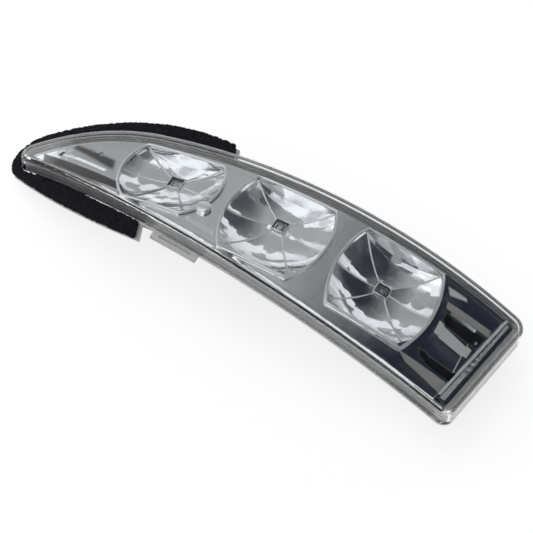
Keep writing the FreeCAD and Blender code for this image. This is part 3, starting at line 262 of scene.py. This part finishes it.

# Reflector: moulded polycarbonate with a vacuum metallised face, three bowls of six petals each.
# The metal film follows every ripple of the moulding, so its mirror is bright but never quite flat.
# Its dark, grey and white patches at both ends and before the bowls are painted reflections, not metallised,
# given by their corners in plan.

chrome = Finish("metallised_film", Specular_IOR_Level=0.5)
chrome_spot = chrome.place()


def zone(finish, spot, corners, blur):
    """1 inside a polygon of the row frame's plan, corners clockwise in millimetres, 0 outside it."""
    inside = None
    for (x, y), (next_x, next_y) in zip(corners, corners[1:] + corners[:1]):
        run = Vector((next_x - x, next_y - y)).normalized()
        normal = Vector((run.y, -run.x, 0.0)) / blur
        reach = finish.node("ShaderNodeVectorMath", {"operation": "DOT_PRODUCT"},
                            {0: spot, 1: normal}, "Value")
        side = (reach + (0.5 - normal.x * x - normal.y * y)).clamp()
        inside = side if inside is None else inside * side
    return inside


# Colours of the painted reflections on the reflector: dark, grey and white.
DARK_PAINTED_REFLECTION = (0.010, 0.010, 0.013)
GREY_PAINTED_REFLECTION = (0.52, 0.52, 0.50)
WHITE_PAINTED_REFLECTION = (0.94, 0.95, 0.95)
PAINTED_REFLECTIONS = [
    ([(-93.5, 2.6), (-54.3, -6.0), (-50.1, -10.1), (-90.5, -3.8)], 0.6, DARK_PAINTED_REFLECTION),
    ([(-82.4, 10.2), (-63.2, 5.3), (-61.6, 0.0), (-83.8, 8.0)], 1.6, DARK_PAINTED_REFLECTION),
    ([(78.0, 9.9), (97.0, 10.8), (97.5, 7.4), (78.7, 6.7)], 0.4, GREY_PAINTED_REFLECTION),
    ([(75.6, 16.3), (83.5, 16.6), (84.3, 15.3), (77.5, 12.9)], 0.8, WHITE_PAINTED_REFLECTION),
    ([(79.3, 5.0), (96.5, 6.2), (95.3, -0.4), (79.7, 0.4)], 0.3, DARK_PAINTED_REFLECTION),
    ([(78.7, 0.1), (94.0, -2.6), (93.6, -7.3), (78.9, -6.3)], 0.3, WHITE_PAINTED_REFLECTION),
    ([(76.8, -16.4), (93.3, -15.8), (93.2, -21.4), (78.4, -19.8)], 0.5, DARK_PAINTED_REFLECTION),
    ([(70.6, -22.4), (93.0, -22.3), (92.0, -28.4), (74.9, -25.4)], 0.3, GREY_PAINTED_REFLECTION),
    ([(-24.0, -14.2), (-23.6, -11.9), (-10.9, -13.6), (-9.9, -16.8)], 0.3, WHITE_PAINTED_REFLECTION),
    ([(-6.8, -18.2), (-5.9, -15.9), (19.5, -18.0), (19.5, -21.6)], 0.3, WHITE_PAINTED_REFLECTION)]
tone = chrome.blend(chrome.cloud(0.4, 2.0), (0.80, 0.815, 0.84), (0.90, 0.91, 0.925))
painted_reflection = None
# Each patch is a painted reflection: a flat colour, less metallic, where the mirror would show dark or bright
# surroundings.
for corners, blur, colour in PAINTED_REFLECTIONS:
    patch = zone(chrome, chrome_spot, corners, blur)
    tone = chrome.blend(patch, tone, colour)
    painted_reflection = patch if painted_reflection is None else (painted_reflection + patch).clamp()
ripple = chrome.cloud(0.16, 3.0)
chrome.wear(Base_Color=tone,
            Metallic=1.0 - painted_reflection,
            Roughness=chrome.cloud(0.5) * 0.05 + painted_reflection * 0.25 + 0.02,
            Normal=chrome.relief(ripple, 0.12))
chrome.on(nodes["reflector"])

# Crests of the reflector: the rounded edges where two petals meet, round each cell and diode opening,
# the ridge before the blunt end, and the domed stud on the deck. They belong to the same moulding.
# Their white colour, half diffuse and half mirror, is a painted highlight: a thin bright line on each.

FACE_HEIGHT = 42.0
CROWN_X = 10.0
ARCH_RADIUS = 245.0
AXIS_HEIGHT = FACE_HEIGHT - ARCH_RADIUS
MOUTH_DEPTH = 9.6
BAND_DEPTH = 4.7
RIM_DEPTH = 3.2
BOWL_START = ARCH_RADIUS - MOUTH_DEPTH
BOWL_RADIUS = 34.0
BAND_LEVEL = ARCH_RADIUS - BAND_DEPTH
RIM_LEVEL = ARCH_RADIUS - RIM_DEPTH
RIM_MIDDLE = 0.45
PETAL_LEDGE = 3.5
CELL_TOP = 16.4
CELL_BULGE = 20.3
MOUTH = 2.8
CREST_RADIUS = 0.42
RIM_RADIUS = 0.6
MOUTH_RIM_RADIUS = 0.28
RIDGE_STEPS = 16
RIDGE_THIN_END = 0.55
RIDGE_FROM = MOUTH * 1.15
RIM_STEP = 2.5
ARC_STEPS = 24
CELLS = {"tip": {"turn": -11.65, "far": 17.0, "near": -12.2, "base": 11.8, "led_y": 7.2},
         "middle": {"turn": -0.4, "far": 18.5, "near": -20.6, "base": 13.8, "led_y": 5.8},
         "end": {"turn": 10.85, "far": 18.7, "near": -21.7, "base": 15.5, "led_y": 1.6}}


def on_arch(degrees, x, y, height):
    """Point given in a frame turned about the axis of the arch, in millimetres."""
    turn = math.radians(degrees)
    return Vector((CROWN_X + x * math.cos(turn) + height * math.sin(turn), y,
                   AXIS_HEIGHT + height * math.cos(turn) - x * math.sin(turn))) * MM


def on_cell(cell, x, y, height):
    """Point given in the frame of one cell, in millimetres."""
    return on_arch(CELLS[cell]["turn"], x, y, height)


def bead(name, lines, closed, radius_mm):
    """Round bead along each of some lines of (point, thickness)."""
    path = bpy.data.curves.new(name, "CURVE")
    path.dimensions = "3D"
    path.bevel_depth = radius_mm * MM
    path.bevel_resolution = 3
    path.use_fill_caps = True
    for line in lines:
        spline = path.splines.new("POLY")
        spline.points.add(len(line) - 1)
        spline.use_cyclic_u = closed
        for spot, (point, thickness) in zip(spline.points, line):
            spot.co = (*point, 1.0)
            spot.radius = thickness
    holder = bpy.data.objects.new(name + "_path", path)
    bpy.context.scene.collection.objects.link(holder)
    shape = bpy.data.meshes.new_from_object(holder.evaluated_get(bpy.context.evaluated_depsgraph_get()))
    bpy.data.objects.remove(holder)
    for polygon in shape.polygons:
        polygon.use_smooth = True
    return added(name, shape)


def arc_through(first, second, third, steps):
    """Points of the circle through three points of a plane, from the first to the third."""
    (ax, ay), (bx, by), (cx, cy) = first, second, third
    twice = 2 * (ax * (by - cy) + bx * (cy - ay) + cx * (ay - by))
    x = ((ax**2 + ay**2) * (by - cy) + (bx**2 + by**2) * (cy - ay) + (cx**2 + cy**2) * (ay - by)) / twice
    y = ((ax**2 + ay**2) * (cx - bx) + (bx**2 + by**2) * (ax - cx) + (cx**2 + cy**2) * (bx - ax)) / twice
    radius = math.hypot(ax - x, ay - y)
    start, stop = math.atan2(ay - y, ax - x), math.atan2(cy - y, cx - x)
    sweep = (stop - start + math.pi) % (2 * math.pi) - math.pi
    turns = [start + sweep * i / steps for i in range(steps + 1)]
    return [(x + radius * math.cos(turn), y + radius * math.sin(turn)) for turn in turns]


def cell_corners(cell):
    """Six corners of a cell's barrel outline, clockwise from the far left one."""
    far, near, base = CELLS[cell]["far"], CELLS[cell]["near"], CELLS[cell]["base"]
    middle = (far + near) / 2
    return [(-CELL_TOP, far), (CELL_TOP, far), (CELL_BULGE, middle),
            (base, near), (-base, near), (-CELL_BULGE, middle)]


def ridge(cell, corner):
    """Arc from the diode opening to a corner, where two petals meet."""
    x, y = corner
    if y == CELLS[cell]["near"]:
        y += PETAL_LEDGE
    run_x, run_y = x, y - CELLS[cell]["led_y"]
    run = math.hypot(run_x, run_y)
    rise = math.sqrt(BAND_LEVEL**2 - x**2) - BOWL_START
    low = (run**2 - 2 * BOWL_RADIUS * rise + rise**2) / (2 * run)
    line = []
    for step in range(RIDGE_STEPS + 1):
        along = RIDGE_FROM + (run - RIDGE_FROM) * step / RIDGE_STEPS
        height = BOWL_START + BOWL_RADIUS - math.sqrt(BOWL_RADIUS**2 + 2 * low * along - along**2)
        spot = on_cell(cell, run_x * along / run, CELLS[cell]["led_y"] + run_y * along / run, height)
        line.append((spot, RIDGE_THIN_END + (1 - RIDGE_THIN_END) * step / RIDGE_STEPS))
    return line


ridges = [ridge(cell, corner) for cell in CELLS for corner in cell_corners(cell)]
bead("petal_crests", ridges, closed=False, radius_mm=CREST_RADIUS)
rims = []
for cell in CELLS:
    corners = cell_corners(cell)
    loop = arc_through(*corners[1:4], ARC_STEPS) + arc_through(corners[4], corners[5], corners[0], ARC_STEPS)
    middle = (CELLS[cell]["far"] + CELLS[cell]["near"]) / 2
    swell = 1 + RIM_MIDDLE / CELL_TOP
    steps = []
    for (x, y), (next_x, next_y) in zip(loop, loop[1:] + loop[:1]):
        parts = max(1, round(math.hypot(next_x - x, next_y - y) / RIM_STEP))
        steps += [(x + (next_x - x) * i / parts, y + (next_y - y) * i / parts) for i in range(parts)]
    outline = []
    for x, y in steps:
        x, y = x * swell, middle + (y - middle) * swell
        outline.append((on_cell(cell, x, y, math.sqrt(RIM_LEVEL**2 - x**2)), 1.0))
    rims.append(outline)
bead("cell_rims", rims, closed=True, radius_mm=RIM_RADIUS)
MOUTH_RIM_SIDE = MOUTH + 0.1
MOUTH_RIM_LEVEL = BOWL_START + 0.15
mouths = []
for cell in CELLS:
    led_y = CELLS[cell]["led_y"]
    mouths.append([(on_cell(cell, x * MOUTH_RIM_SIDE, led_y + y * MOUTH_RIM_SIDE, MOUTH_RIM_LEVEL), 1.0)
                   for x, y in ((-1, -1), (0, -1), (1, -1), (1, 0), (1, 1), (0, 1), (-1, 1), (-1, 0))])
bead("mouth_rims", mouths, closed=True, radius_mm=MOUTH_RIM_RADIUS)
END_RIDGE_X = 96.8
END_RIDGE_LEAN = math.radians(11.1)
END_RIDGE_LEVEL = ARCH_RADIUS - 3.5
END_RIDGE_NEAR = -28.6
END_RIDGE_STEP = 2.0
END_RIDGE_POINTS = 25
END_RIDGE_RADIUS = 0.55
end_line = []
for number in range(END_RIDGE_POINTS):
    y = END_RIDGE_NEAR + END_RIDGE_STEP * number
    x = END_RIDGE_X + y * math.tan(END_RIDGE_LEAN) - CROWN_X
    end_line.append((on_arch(0.0, x, y, math.sqrt(END_RIDGE_LEVEL**2 - x**2)), 1.0))
bead("end_ridge", [end_line], closed=False, radius_mm=END_RIDGE_RADIUS)
STUD = (-19.6, -5.7)
STUD_RADIUS = 2.9
STUD_LEVEL = ARCH_RADIUS - 2.8
CAP_RISE = 0.5
CAP_SIDES = 36
CAP_RINGS = (0.3, 0.55, 0.75, 0.9, 0.98, 1.0)
stud_turn = math.degrees(math.asin((STUD[0] - CROWN_X) / STUD_LEVEL))
cap = bmesh.new()
top = cap.verts.new(on_arch(stud_turn, 0.0, STUD[1], STUD_LEVEL + CAP_RISE))
rings = [[cap.verts.new(on_arch(stud_turn, out * STUD_RADIUS * math.cos(math.radians(around)),
                                STUD[1] + out * STUD_RADIUS * math.sin(math.radians(around)),
                                STUD_LEVEL + CAP_RISE * math.sqrt(1 - out**2)))
          for around in range(0, 360, 360 // CAP_SIDES)] for out in CAP_RINGS]
for i in range(CAP_SIDES):
    after = (i + 1) % CAP_SIDES
    cap.faces.new((top, rings[0][i], rings[0][after]))
    for inner, outer in zip(rings, rings[1:]):
        cap.faces.new((inner[i], outer[i], outer[after], inner[after]))
cap.faces.new(rings[-1][::-1])
cap_shape = bpy.data.meshes.new("stud_cap")
cap.to_mesh(cap_shape)
for polygon in cap_shape.polygons:
    polygon.use_smooth = len(polygon.vertices) < CAP_SIDES
added("stud_cap", cap_shape)
# Painted highlight: white colour that is only half metallic, so that each crest shows a bright line under any
# lamp.
bright = Finish("crest_painted_highlight", Metallic=0.55)
bright.wear(Base_Color=bright.blend(bright.cloud(0.8, 2.0), (0.90, 0.91, 0.92), (0.97, 0.975, 0.98)),
            Roughness=bright.cloud(1.0) * 0.08 + 0.16,
            Normal=bright.relief(bright.cloud(0.5, 2.0), 0.05))
for name in ("petal_crests", "cell_rims", "mouth_rims", "end_ridge", "stud_cap"):
    crest = bpy.data.objects[name]
    bright.on(crest)

# End diffuser: frosted acrylic bar with flutes in the blunt end, lying in the pocket of the reflector.
# Its top is etched, so that it scatters the light of the last bowl.

frosted = Finish("frosted_bar", IOR=1.49, Transmission_Weight=0.1)
frosted.wear(Base_Color=frosted.blend(frosted.cloud(0.5), (0.66, 0.67, 0.68), (0.97, 0.97, 0.97)),
             Roughness=frosted.cloud(1.5) * 0.2 + 0.18,
             Normal=frosted.relief(frosted.cloud(0.35, 4.0), 0.5))
frosted.on(nodes["end_diffuser"])

# Rear shell: light grey glass filled polyamide, moulded with its brim, tab and bosses in one piece.
# It has a fine spark eroded texture, and its tone drifts a little, as the fibres lie.

shell = Finish("shell_grey", Specular_IOR_Level=0.4)
speck = shell.cloud(6.0, 2.0)
shell.wear(Base_Color=shell.blend(shell.cloud(0.05, 4.0) * 0.6 + speck * 0.4,
                                  (0.50, 0.51, 0.52), (0.68, 0.68, 0.67)),
           Roughness=speck * 0.2 + 0.42,
           Normal=shell.relief(speck, 0.05))
shell.on(nodes["housing"])

# Foam gasket: black open cell foam, die cut to a crescent and glued on the brim round the pointed end.
# The pores leave its faces rough and its cut edges slightly ragged.


def remade(node, voxel_mm, smooth_steps=0):
    """Evenly meshed copy of a CAD node's shape."""
    piece = bpy.data.objects.new(node + "_piece", nodes[node].data.copy())
    bpy.context.scene.collection.objects.link(piece)
    remesh = piece.modifiers.new("even", "REMESH")
    remesh.mode = "VOXEL"
    remesh.voxel_size = voxel_mm * MM
    if smooth_steps:
        rounding = piece.modifiers.new("rounding", "SMOOTH")
        rounding.iterations = smooth_steps
    settled(piece)
    return piece


def settled(piece):
    """Applies the piece's modifiers."""
    shape = bpy.data.meshes.new_from_object(piece.evaluated_get(bpy.context.evaluated_depsgraph_get()))
    piece.modifiers.clear()
    piece.data = shape
    for polygon in shape.polygons:
        polygon.use_smooth = True


FOAM_PIT = 0.5 * MM
FOAM_CELL = 0.9 * MM
FINE_CELL = FOAM_CELL * 0.45
FOAM_CONTRAST = 1.5
FOAM_SKIN = 0.3
foam = remade("foam_gasket", voxel_mm=0.5, smooth_steps=1)
foam.data.update()
normals = [v.normal.copy() for v in foam.data.vertices]
for vertex, normal in zip(foam.data.vertices, normals):
    pores = noise.noise(vertex.co / FOAM_CELL) + 0.5 * noise.noise(vertex.co / FINE_CELL)
    vertex.co += normal * min(0.0, FOAM_CONTRAST * pores - FOAM_SKIN) * FOAM_PIT
foam_black = Finish("foam_black", Specular_IOR_Level=0.12)
bubbles = foam_black.node("ShaderNodeTexVoronoi", {}, {"Vector": foam_black.place(), "Scale": 1.6})
foam_black.wear(Base_Color=foam_black.blend((bubbles * 1.4).clamp(),
                                            (0.003, 0.003, 0.004), (0.016, 0.015, 0.021)),
                Roughness=foam_black.cloud(2.0) * 0.15 + 0.82,
                Normal=foam_black.relief(bubbles, 0.2))
foam_black.on(foam)
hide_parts("foam_gasket")
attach(foam, "root")

# Circuit boards: glass epoxy with white solder resist, one behind each bowl.
# The resist is slightly uneven over the copper.

resist = Finish("board_resist", Specular_IOR_Level=0.5)
resist.wear(Base_Color=resist.blend(resist.cloud(0.4, 2.0), (0.76, 0.78, 0.76), (0.86, 0.87, 0.85)),
            Roughness=resist.cloud(1.0) * 0.2 + 0.3,
            Normal=resist.relief(resist.cloud(0.5, 1.0), 0.06))
resist.on(nodes["board_tip"], nodes["board_middle"], nodes["board_end"])

# Diode packages: dark moulded cases, one in the opening of each bowl.
# A clear silicone dome is cast over the bonded chip of each.

package = Finish("led_case", Specular_IOR_Level=0.5)
package.wear(Base_Color=package.blend(package.cloud(1.4), (0.025, 0.027, 0.035), (0.10, 0.105, 0.12)),
             Roughness=package.cloud(1.0) * 0.2 + 0.25)
package.on(nodes["led_tip"], nodes["led_middle"], nodes["led_end"])
silicone = Finish("led_dome", IOR=1.41, Transmission_Weight=0.85)
silicone.wear(Base_Color=silicone.blend(silicone.cloud(0.8), (0.86, 0.88, 0.90), (0.94, 0.95, 0.96)),
              Roughness=silicone.cloud(1.0) * 0.08 + 0.03)
silicone.on(nodes["led_domes"])

# Diode frames: thin tinned copper strips and the chip's pad on each package, with fine bond wires between.
# The links between the boards and the pins of the socket are tinned in the same way.

tin = Finish("tinned_copper", Metallic=1.0)
tin.wear(Base_Color=tin.blend(tin.cloud(1.5), (0.66, 0.66, 0.65), (0.88, 0.88, 0.87)),
         Roughness=tin.cloud(2.0) * 0.2 + 0.12)
PACKAGE_TOP = ARCH_RADIUS - 10.6
FRAME_AT = 1.95
STRIP = (0.5, 3.4, 0.18)
TOOTH = (0.7, 0.5, 0.18)
TOOTH_PITCH = 1.15
CHIP_PAD = (1.1, 1.1, 0.2)
PLATE_ROUND = 0.05
BOND_ARCH = ((0.35, 0.2), (0.6, 0.55), (1.1, 0.6), (1.6, 0.35), (1.9, 0.15))
BOND_OFFSET = 0.1
BOND_WIRE_RADIUS = 0.06
plates = bmesh.new()


def plate(cell, x, y, length, width, thickness):
    """Thin rounded plate lying on a diode package."""
    corners = [Vector(on_cell(cell, x + i * length / 2, y + j * width / 2, PACKAGE_TOP + k))
               for k in (0.0, thickness) for i, j in ((-1, -1), (1, -1), (1, 1), (-1, 1))]
    ends = [plates.verts.new(corner) for corner in corners]
    faces = [plates.faces.new([ends[n] for n in loop])
             for loop in ((3, 2, 1, 0), (4, 5, 6, 7), (0, 1, 5, 4), (1, 2, 6, 5), (2, 3, 7, 6), (3, 0, 4, 7))]
    edges = {edge for face in faces for edge in face.edges}
    bmesh.ops.bevel(plates, geom=list(edges), offset=PLATE_ROUND * MM, segments=2, affect="EDGES",
                    profile=0.5)


wires = []
for cell, facts in CELLS.items():
    led_y = facts["led_y"]
    for side_of in (-1, 1):
        plate(cell, side_of * FRAME_AT, led_y, *STRIP)
        wires.append([(on_cell(cell, side_of * along, led_y + BOND_OFFSET, PACKAGE_TOP + rise), 1.0)
                      for along, rise in BOND_ARCH])
    for tooth in (-1, 0, 1):
        plate(cell, tooth * TOOTH_PITCH, led_y + FRAME_AT, *TOOTH)
    plate(cell, 0.0, led_y, *CHIP_PAD)
plates_shape = bpy.data.meshes.new("led_frames")
plates.to_mesh(plates_shape)
led_frames = added("led_frames", plates_shape)
bond_wires = bead("bond_wires", wires, closed=False, radius_mm=BOND_WIRE_RADIUS)
tin.on(led_frames, bond_wires, nodes["board_links"], nodes["connector_pins"])

# Chips and screws: resistors and diodes soldered on the boards, and the screws of boards and reflector.
# The chips are matt ceramic and epoxy, and the screws zinc plated steel.

chip = Finish("chip_black", Specular_IOR_Level=0.4)
chip.wear(Base_Color=chip.blend(chip.cloud(3.0), (0.02, 0.02, 0.022), (0.07, 0.07, 0.075)),
          Roughness=chip.cloud(2.0) * 0.2 + 0.5)
chip.on(nodes["board_resistors"], nodes["board_diodes"])
zinc = Finish("zinc_plated", Metallic=1.0)
zinc.wear(Base_Color=zinc.blend(zinc.cloud(1.2, 4.0), (0.45, 0.46, 0.47), (0.70, 0.71, 0.72)),
          Roughness=zinc.cloud(2.5) * 0.25 + 0.22,
          Normal=zinc.relief(zinc.cloud(3.0), 0.02))
zinc.on(nodes["board_screws"], nodes["reflector_screws"])

# Connector: black polyamide socket on the back, turned a quarter in its hole over a red rubber seal.
# The cap of the vent is moulded of the same polyamide.

nylon = Finish("socket_black", Specular_IOR_Level=0.45)
nylon.wear(Base_Color=nylon.blend(nylon.cloud(0.8, 4.0), (0.018, 0.018, 0.02), (0.05, 0.05, 0.055)),
           Roughness=nylon.cloud(4.0) * 0.2 + 0.38,
           Normal=nylon.relief(nylon.cloud(5.0), 0.04))
nylon.on(nodes["connector_socket"], nodes["vent_cap"])
seal = remade("socket_seal", voxel_mm=0.25, smooth_steps=2)
rubber = Finish("seal_rubber", Specular_IOR_Level=0.35)
rubber.wear(Base_Color=rubber.blend(rubber.cloud(1.0), (0.28, 0.06, 0.025), (0.42, 0.11, 0.05)),
            Roughness=rubber.cloud(3.0) * 0.15 + 0.5,
            Normal=rubber.relief(rubber.cloud(2.0), 0.03))
rubber.on(seal)
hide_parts("socket_seal")
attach(seal, "root")

# Vent: breathable white membrane under a black cap on the back.
# The membrane is a fine felt of stretched film.

membrane = remade("vent_membrane", voxel_mm=0.2)
felt = Finish("vent_felt", Specular_IOR_Level=0.2)
felt.wear(Base_Color=felt.blend(felt.cloud(4.0, 5.0), (0.78, 0.78, 0.75), (0.92, 0.92, 0.90)),
          Roughness=felt.cloud(3.0) * 0.1 + 0.85,
          Normal=felt.relief(felt.cloud(5.0, 5.0), 0.08))
felt.on(membrane)
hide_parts("vent_membrane")
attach(membrane, "root")

# Mounting inserts: turned brass bushes pressed into the three bosses, bright where the tool cut them.
# Relief of the thread's pitch runs round their bores.

THREAD_PITCH = 0.7
brass = Finish("insert_brass", Metallic=1.0)
thread = (brass.place().part("Z") * (2 * math.pi / THREAD_PITCH)).wave()
brass.wear(Base_Color=brass.blend(brass.cloud(1.2, 3.0), (0.62, 0.44, 0.18), (0.82, 0.63, 0.32)),
           Roughness=brass.cloud(3.0) * 0.2 + 0.2,
           Normal=brass.relief(thread * 0.5 + 0.5, 0.3))
brass.on(nodes["mount_inserts"])

# Studio: pale floor, one large soft lamp, and a surround of grey walls with bright and dark panels, which the
# metallised bowls mirror. Camera rays see floor and surround as plain white, but the floor keeps its shadow.
# From below the floor is clear, so that the back of the lamp can be seen.

floor_shape = bmesh.new()
bmesh.ops.create_grid(floor_shape, x_segments=1, y_segments=1, size=6.0)
floor_mesh = bpy.data.meshes.new("floor")
floor_shape.to_mesh(floor_mesh)
floor = bpy.data.objects.new("floor", floor_mesh)
bpy.context.scene.collection.objects.link(floor)
FLOOR_TONE = 0.42
FLOOR_GLOW = 0.74
paper = Finish("white_floor", Base_Color=(FLOOR_TONE, FLOOR_TONE, FLOOR_TONE, 1.0), Roughness=0.9,
               Specular_IOR_Level=0.0)
seen = paper.node("ShaderNodeLightPath", {}, {}, "Is Camera Ray")
through = paper.node("ShaderNodeLightPath", {}, {}, "Is Transmission Ray")
mirrored = paper.node("ShaderNodeLightPath", {}, {}, "Is Glossy Ray")
glow = paper.node("ShaderNodeEmission", {}, {"Color": (1.0, 1.0, 1.0, 1.0),
                                             "Strength": (seen + through + mirrored).clamp() * FLOOR_GLOW})
both = paper.node("ShaderNodeAddShader", {}, {0: Wire(paper, paper.shader.outputs[0]), 1: glow})
below = paper.node("ShaderNodeNewGeometry", {}, {}, "Backfacing")
clear_back = paper.node("ShaderNodeBsdfTransparent", {}, {})
one_sided = paper.node("ShaderNodeMixShader", {}, {0: below, 1: both, 2: clear_back})
paper.tree.links.new(one_sided.socket, paper.tree.nodes["Material Output"].inputs["Surface"])
paper.on(floor)


class Surround(Finish):
    """World shader made of the same nodes."""

    def __init__(self, world):
        world.use_nodes = True
        self.tree = world.node_tree
        self.shader = self.tree.nodes["Background"]
        self.direction = self.node("ShaderNodeTexCoord", {}, {}, "Generated")

    def toward(self, aim):
        """Cosine of the angle to an aim."""
        return self.node("ShaderNodeVectorMath", {"operation": "DOT_PRODUCT"},
                         {0: self.direction, 1: Vector(aim).normalized()}, "Value")


def step(value, start, stop):
    """0 below the start, 1 above the stop."""
    return ((value - start) * (1 / (stop - start))).clamp()


world = bpy.data.worlds.new("studio")
bpy.context.scene.world = world
room = Surround(world)
level = room.direction.part("Z")
behind = room.direction.part("Y")
WALL_TOP = (0.24, 0.30)
FAR_WALL = (1.25, 1.26, 1.27)
NEAR_WALL = (0.50, 0.505, 0.51)
UPPER_WALL = (0.40, 0.40, 0.395)
BRIGHT_PANEL = (1.5, 1.5, 1.5)
DARK_GAP = (0.05, 0.052, 0.06)
ROOF = (0.12, 0.12, 0.125)
DARK_CORNER = (0.02, 0.023, 0.034)
CORNER_AIM = (0.50, 0.55, 0.67)
WINDOW = (1.0, 1.01, 1.02)
far_side = step(behind, -0.15, 0.10)
clear_of_deck = 1.0 - step(behind, 0.30, 0.42) * step(level, *WALL_TOP)
drift = room.node("ShaderNodeTexNoise", {}, {"Vector": room.direction, "Scale": 2.1, "Detail": 1.0})
shapes = room.node("ShaderNodeTexNoise", {}, {"Vector": room.direction, "Scale": 5.0, "Detail": 0.5})
light = room.blend(far_side, NEAR_WALL, FAR_WALL)
light = room.blend(step(level, *WALL_TOP), light, UPPER_WALL)
light = room.blend(step(drift, 0.53, 0.55) * clear_of_deck * (far_side * 0.75 + 0.25), light, BRIGHT_PANEL)
light = room.blend((1.0 - step(drift, 0.425, 0.44)) * clear_of_deck, light, DARK_GAP)
light = room.blend(step(level, 0.93, 0.97), light, ROOF)
light = room.blend(step(room.toward(CORNER_AIM), 0.80, 0.97), light, DARK_CORNER)
light = room.blend(step(behind, 0.68, 0.73) * step(shapes, 0.45, 0.47), light, WINDOW)
camera_ray = room.node("ShaderNodeLightPath", {}, {}, "Is Camera Ray")
room.wear(Color=room.blend(camera_ray, light, (1.0, 1.0, 1.0)))


def softbox(name, place, aim, size, power):
    """Square area lamp turned to a point."""
    lamp = bpy.data.lights.new(name, "AREA")
    lamp.size = size
    lamp.energy = power
    holder = bpy.data.objects.new(name, lamp)
    bpy.context.scene.collection.objects.link(holder)
    holder.location = place
    holder.rotation_euler = (Vector(aim) - Vector(place)).to_track_quat("-Z", "Y").to_euler()


softbox("key_lamp", place=(-0.9, -0.7, 1.3), aim=(0.0, 0.0, 0.02), size=3.0, power=20.0)

# Camera: where the photograph was taken from, above the near side and beyond the blunt end.
# It is rolled, so that the lamp lies aslant in the picture.

CAMERA_RIGHT = Vector((0.8900, 0.4371, 0.1301))
CAMERA_UP = Vector((-0.4164, 0.6625, 0.6227))
CAMERA_BACK = Vector((0.1860, -0.6083, 0.7716))
CAMERA_PLACE = Vector((133.07, -409.56, 533.51)) * MM
SENSOR_WIDTH = 36.0
FOCAL_LENGTH = 116.34
lens_data = bpy.data.cameras.new("camera")
lens_data.sensor_width = SENSOR_WIDTH
lens_data.lens = FOCAL_LENGTH
camera = bpy.data.objects.new("camera", lens_data)
bpy.context.scene.collection.objects.link(camera)
camera.matrix_world = Matrix.Translation(CAMERA_PLACE) @ Matrix(
    (CAMERA_RIGHT, CAMERA_UP, CAMERA_BACK)).transposed().to_4x4()
bpy.context.scene.camera = camera
bpy.context.scene.view_settings.view_transform = "Standard"
